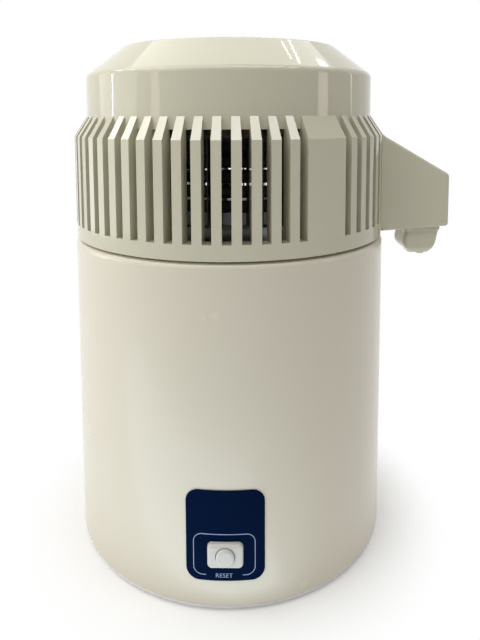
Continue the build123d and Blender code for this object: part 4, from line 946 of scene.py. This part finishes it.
class DISTILLER_OT_stage(bpy.types.Operator):
    """Makes the pale floor, the soft lamps and the camera"""

    bl_idname = "distiller.stage"
    bl_label = "Studio"

    def execute(self, context):
        stage = settings(context, "stage")
        self.floor(stage)
        self.room(context, stage)
        self.lamps(stage)
        self.camera(context, stage)
        context.scene.view_settings.view_transform = "Standard"
        return {"FINISHED"}

    @staticmethod
    def seen(sheet):
        """1 where the camera, or a reflection, looks at the surface itself."""
        path = sheet.node("ShaderNodeLightPath")
        camera, glossy, through = (
            Varying(sheet, path.outputs[name])
            for name in ("Is Camera Ray", "Is Glossy Ray", "Is Transmission Ray")
        )
        return camera.greater_of(glossy).greater_of(through)

    def floor(self, stage):
        """A wide round floor: a bright table top, and white to the eye past the shadow."""
        form = bmesh.new()
        bmesh.ops.create_circle(form, cap_ends=True, segments=96, radius=stage.floor_radius)
        mesh = bpy.data.meshes.new("studio_floor")
        form.to_mesh(mesh)
        form.free()
        sheet = Finish("studio_floor_white", Roughness=0.9)
        x, y, _ = sheet.parts_of(sheet.place())
        reach = from_axis(x, y)
        paper = sheet.noise(sheet.place(), size=0.02, detail=3)
        sheet.set(colour=sheet.mixed(swatch(243, 243, 242), swatch(247, 247, 246), paper))
        white = sheet.node("ShaderNodeEmission", sockets={"Color": WHITE, "Strength": 1.0})
        edge = reach.step(stage.table_radius, stage.table_radius * TABLE_FADE)
        bright = self.seen(sheet).greater_of((1 - edge) * stage.table_glow)
        share = reach.step(stage.shadow_radius * SHADOW_CORE, stage.shadow_radius) * bright
        faded = sheet.node(
            "ShaderNodeMixShader",
            sockets={0: share, 1: sheet.shader.outputs[0], 2: white.outputs[0]},
        )
        out = next(n for n in sheet.tree.nodes if n.type == "OUTPUT_MATERIAL")
        sheet.tree.links.new(faded.outputs[0], out.inputs["Surface"])
        mesh.materials.append(sheet.material)
        floor = bpy.data.objects.new("studio_floor", mesh)
        bpy.context.scene.collection.objects.link(floor)

    def room(self, context, stage):
        """Even light all round, and plain white to the eye."""
        world = bpy.data.worlds.new("studio_room")
        world.use_nodes = True
        sheet = NodeSheet(world.node_tree)
        even = sheet.node(
            "ShaderNodeBackground", sockets={"Color": ROOM_TINT, "Strength": stage.ambient}
        )
        white = sheet.node("ShaderNodeBackground", sockets={"Color": WHITE, "Strength": 1.0})
        both = sheet.node(
            "ShaderNodeMixShader",
            sockets={0: self.seen(sheet), 1: even.outputs[0], 2: white.outputs[0]},
        )
        sheet.node("ShaderNodeOutputWorld", sockets={"Surface": both.outputs[0]})
        context.scene.world = world

    @staticmethod
    def softbox(name, place, aim, size, power, colour=(1, 1, 1)):
        lamp = bpy.data.lights.new(name, "AREA")
        lamp.shape = "RECTANGLE"
        lamp.size, lamp.size_y = size
        lamp.energy = power
        lamp.color = colour
        box = bpy.data.objects.new(name, lamp)
        box.location = place
        box.rotation_euler = (Vector(aim) - Vector(place)).to_track_quat("-Z", "Y").to_euler()
        bpy.context.scene.collection.objects.link(box)

    @classmethod
    def tube(cls, name, start, end, width, aim, power):
        """A lamp that runs from one point to another."""
        start, end, aim = Vector(start), Vector(end), Vector(aim)
        place = (start + end) / 2
        away = (place - aim).normalized()
        along = (end - start) - away * away.dot(end - start)
        length = along.length
        along.normalize()
        cls.softbox(name, place, aim, (width, length), power)
        bpy.data.objects[name].rotation_euler = (
            Matrix((along.cross(away), along, away)).transposed().to_euler()
        )

    @staticmethod
    def mirrored(stage, reach, height, turn, rise):
        """A point of a round surface, and the place from which a lamp shows in it to the camera.

        The surface faces outwards at a turn from the front and is tipped up by the rise."""
        about = math.radians(turn - 90)
        outward = Vector((math.cos(about), math.sin(about), 0))
        up = Vector((0, 0, 1))
        point = outward * reach + up * height
        normal = outward * math.cos(math.radians(rise)) + up * math.sin(math.radians(rise))
        sight = (Vector(stage.camera_place) - point).normalized()
        return point, point + (2 * sight.dot(normal) * normal - sight) * MIRROR_REACH

    def lamps(self, stage):
        for name, place, size, power, colour in SOFTBOXES:
            self.softbox(name, place, MIDDLE, size, getattr(stage, power), colour)
        place, size, colour = TABLE_BOUNCE
        above = (*place[:2], 1)
        self.softbox("table_bounce", place, above, size, stage.bounce_power, colour)
        for i, (turn, width, share) in enumerate(CAP_STRIPS):
            point, place = self.mirrored(stage, CAP_RADIUS, CAP_HEIGHT, turn, 0)
            place.z += STRIP_LIFT
            size, power = (width, STRIP_LENGTH), stage.strip_power * share
            self.softbox(f"cap_strip_{i + 1}", place, point, size, power, STRIP_PINK)
        for i, (start, end, width, share) in enumerate(ROOF_TUBES):
            power = stage.strip_power * share
            self.tube(f"roof_tube_{i + 1}", start, end, width, ROOF_POINT, power)
        for i, turn in enumerate(LOUVRE_PANELS):
            point, place = self.mirrored(stage, SLOPE_RADIUS, SLOPE_HEIGHT, turn, SLOPE_RISE)
            self.softbox(f"louvre_panel_{i + 1}", place, point, PANEL_SIZE, stage.front_power)

    @staticmethod
    def camera(context, stage):
        lens = bpy.data.cameras.new("photo_camera")
        lens.sensor_fit = "AUTO"
        lens.sensor_width = 36.0
        lens.lens = stage.camera_lens
        lens.shift_y = stage.camera_shift
        lens.clip_start = 0.01
        yaw, pitch, roll = stage.camera_yaw, stage.camera_pitch, stage.camera_roll
        level = Vector((math.sin(yaw), math.cos(yaw), 0))
        ahead = level * math.cos(pitch) - Vector((0, 0, 1)) * math.sin(pitch)
        right = Vector((math.cos(yaw), -math.sin(yaw), 0))
        up = right.cross(ahead)
        across = right * math.cos(roll) + up * math.sin(roll)
        upright = up * math.cos(roll) - right * math.sin(roll)
        turn = Matrix((across, upright, -ahead)).transposed().to_4x4()
        camera = bpy.data.objects.new("photo_camera", lens)
        camera.matrix_world = Matrix.Translation(Vector(stage.camera_place)) @ turn
        context.scene.collection.objects.link(camera)
        bpy.context.scene.camera = camera


STEPS = (
    DISTILLER_OT_stage,
    DISTILLER_OT_head_moulding,
    DISTILLER_OT_boiler_casing,
    DISTILLER_OT_boiler_works,
    DISTILLER_OT_control_group,
    DISTILLER_OT_rear_panel,
    DISTILLER_OT_condenser,
    DISTILLER_OT_fan_motor,
    DISTILLER_OT_charcoal_sachet,
)


GROUPS = {
    "finishes": DistillerFinishes,
    "label": DistillerLabel,
    "sachet": DistillerSachet,
    "stage": DistillerStage,
}


class DISTILLER_PT_pieces(bpy.types.Panel):
    """Lists the pieces of the distiller and their sizes and colours"""

    bl_idname = "DISTILLER_PT_pieces"
    bl_label = "Water Distiller"
    bl_space_type = "VIEW_3D"
    bl_region_type = "UI"
    bl_category = "Distiller"

    def draw(self, context):
        for step in STEPS:
            self.layout.operator(step.bl_idname)
        for group in GROUPS:
            box = self.layout.box()
            box.label(text=group.capitalize())
            held = settings(context, group)
            for name in held.bl_rna.properties.keys():
                if name not in ("rna_type", "name"):
                    box.prop(held, name)


CLASSES = (*GROUPS.values(), *STEPS, DISTILLER_PT_pieces)


def register():
    for made in CLASSES:
        bpy.utils.register_class(made)
    for name, group in GROUPS.items():
        setattr(bpy.types.Scene, "distiller_" + name, PointerProperty(type=group))


def unregister():
    for name in GROUPS:
        delattr(bpy.types.Scene, "distiller_" + name)
    for made in reversed(CLASSES):
        bpy.utils.unregister_class(made)


def main():
    register()
    for step in STEPS:
        space, call = step.bl_idname.split(".")
        getattr(getattr(bpy.ops, space), call)()


if __name__ == "__main__":
    main()
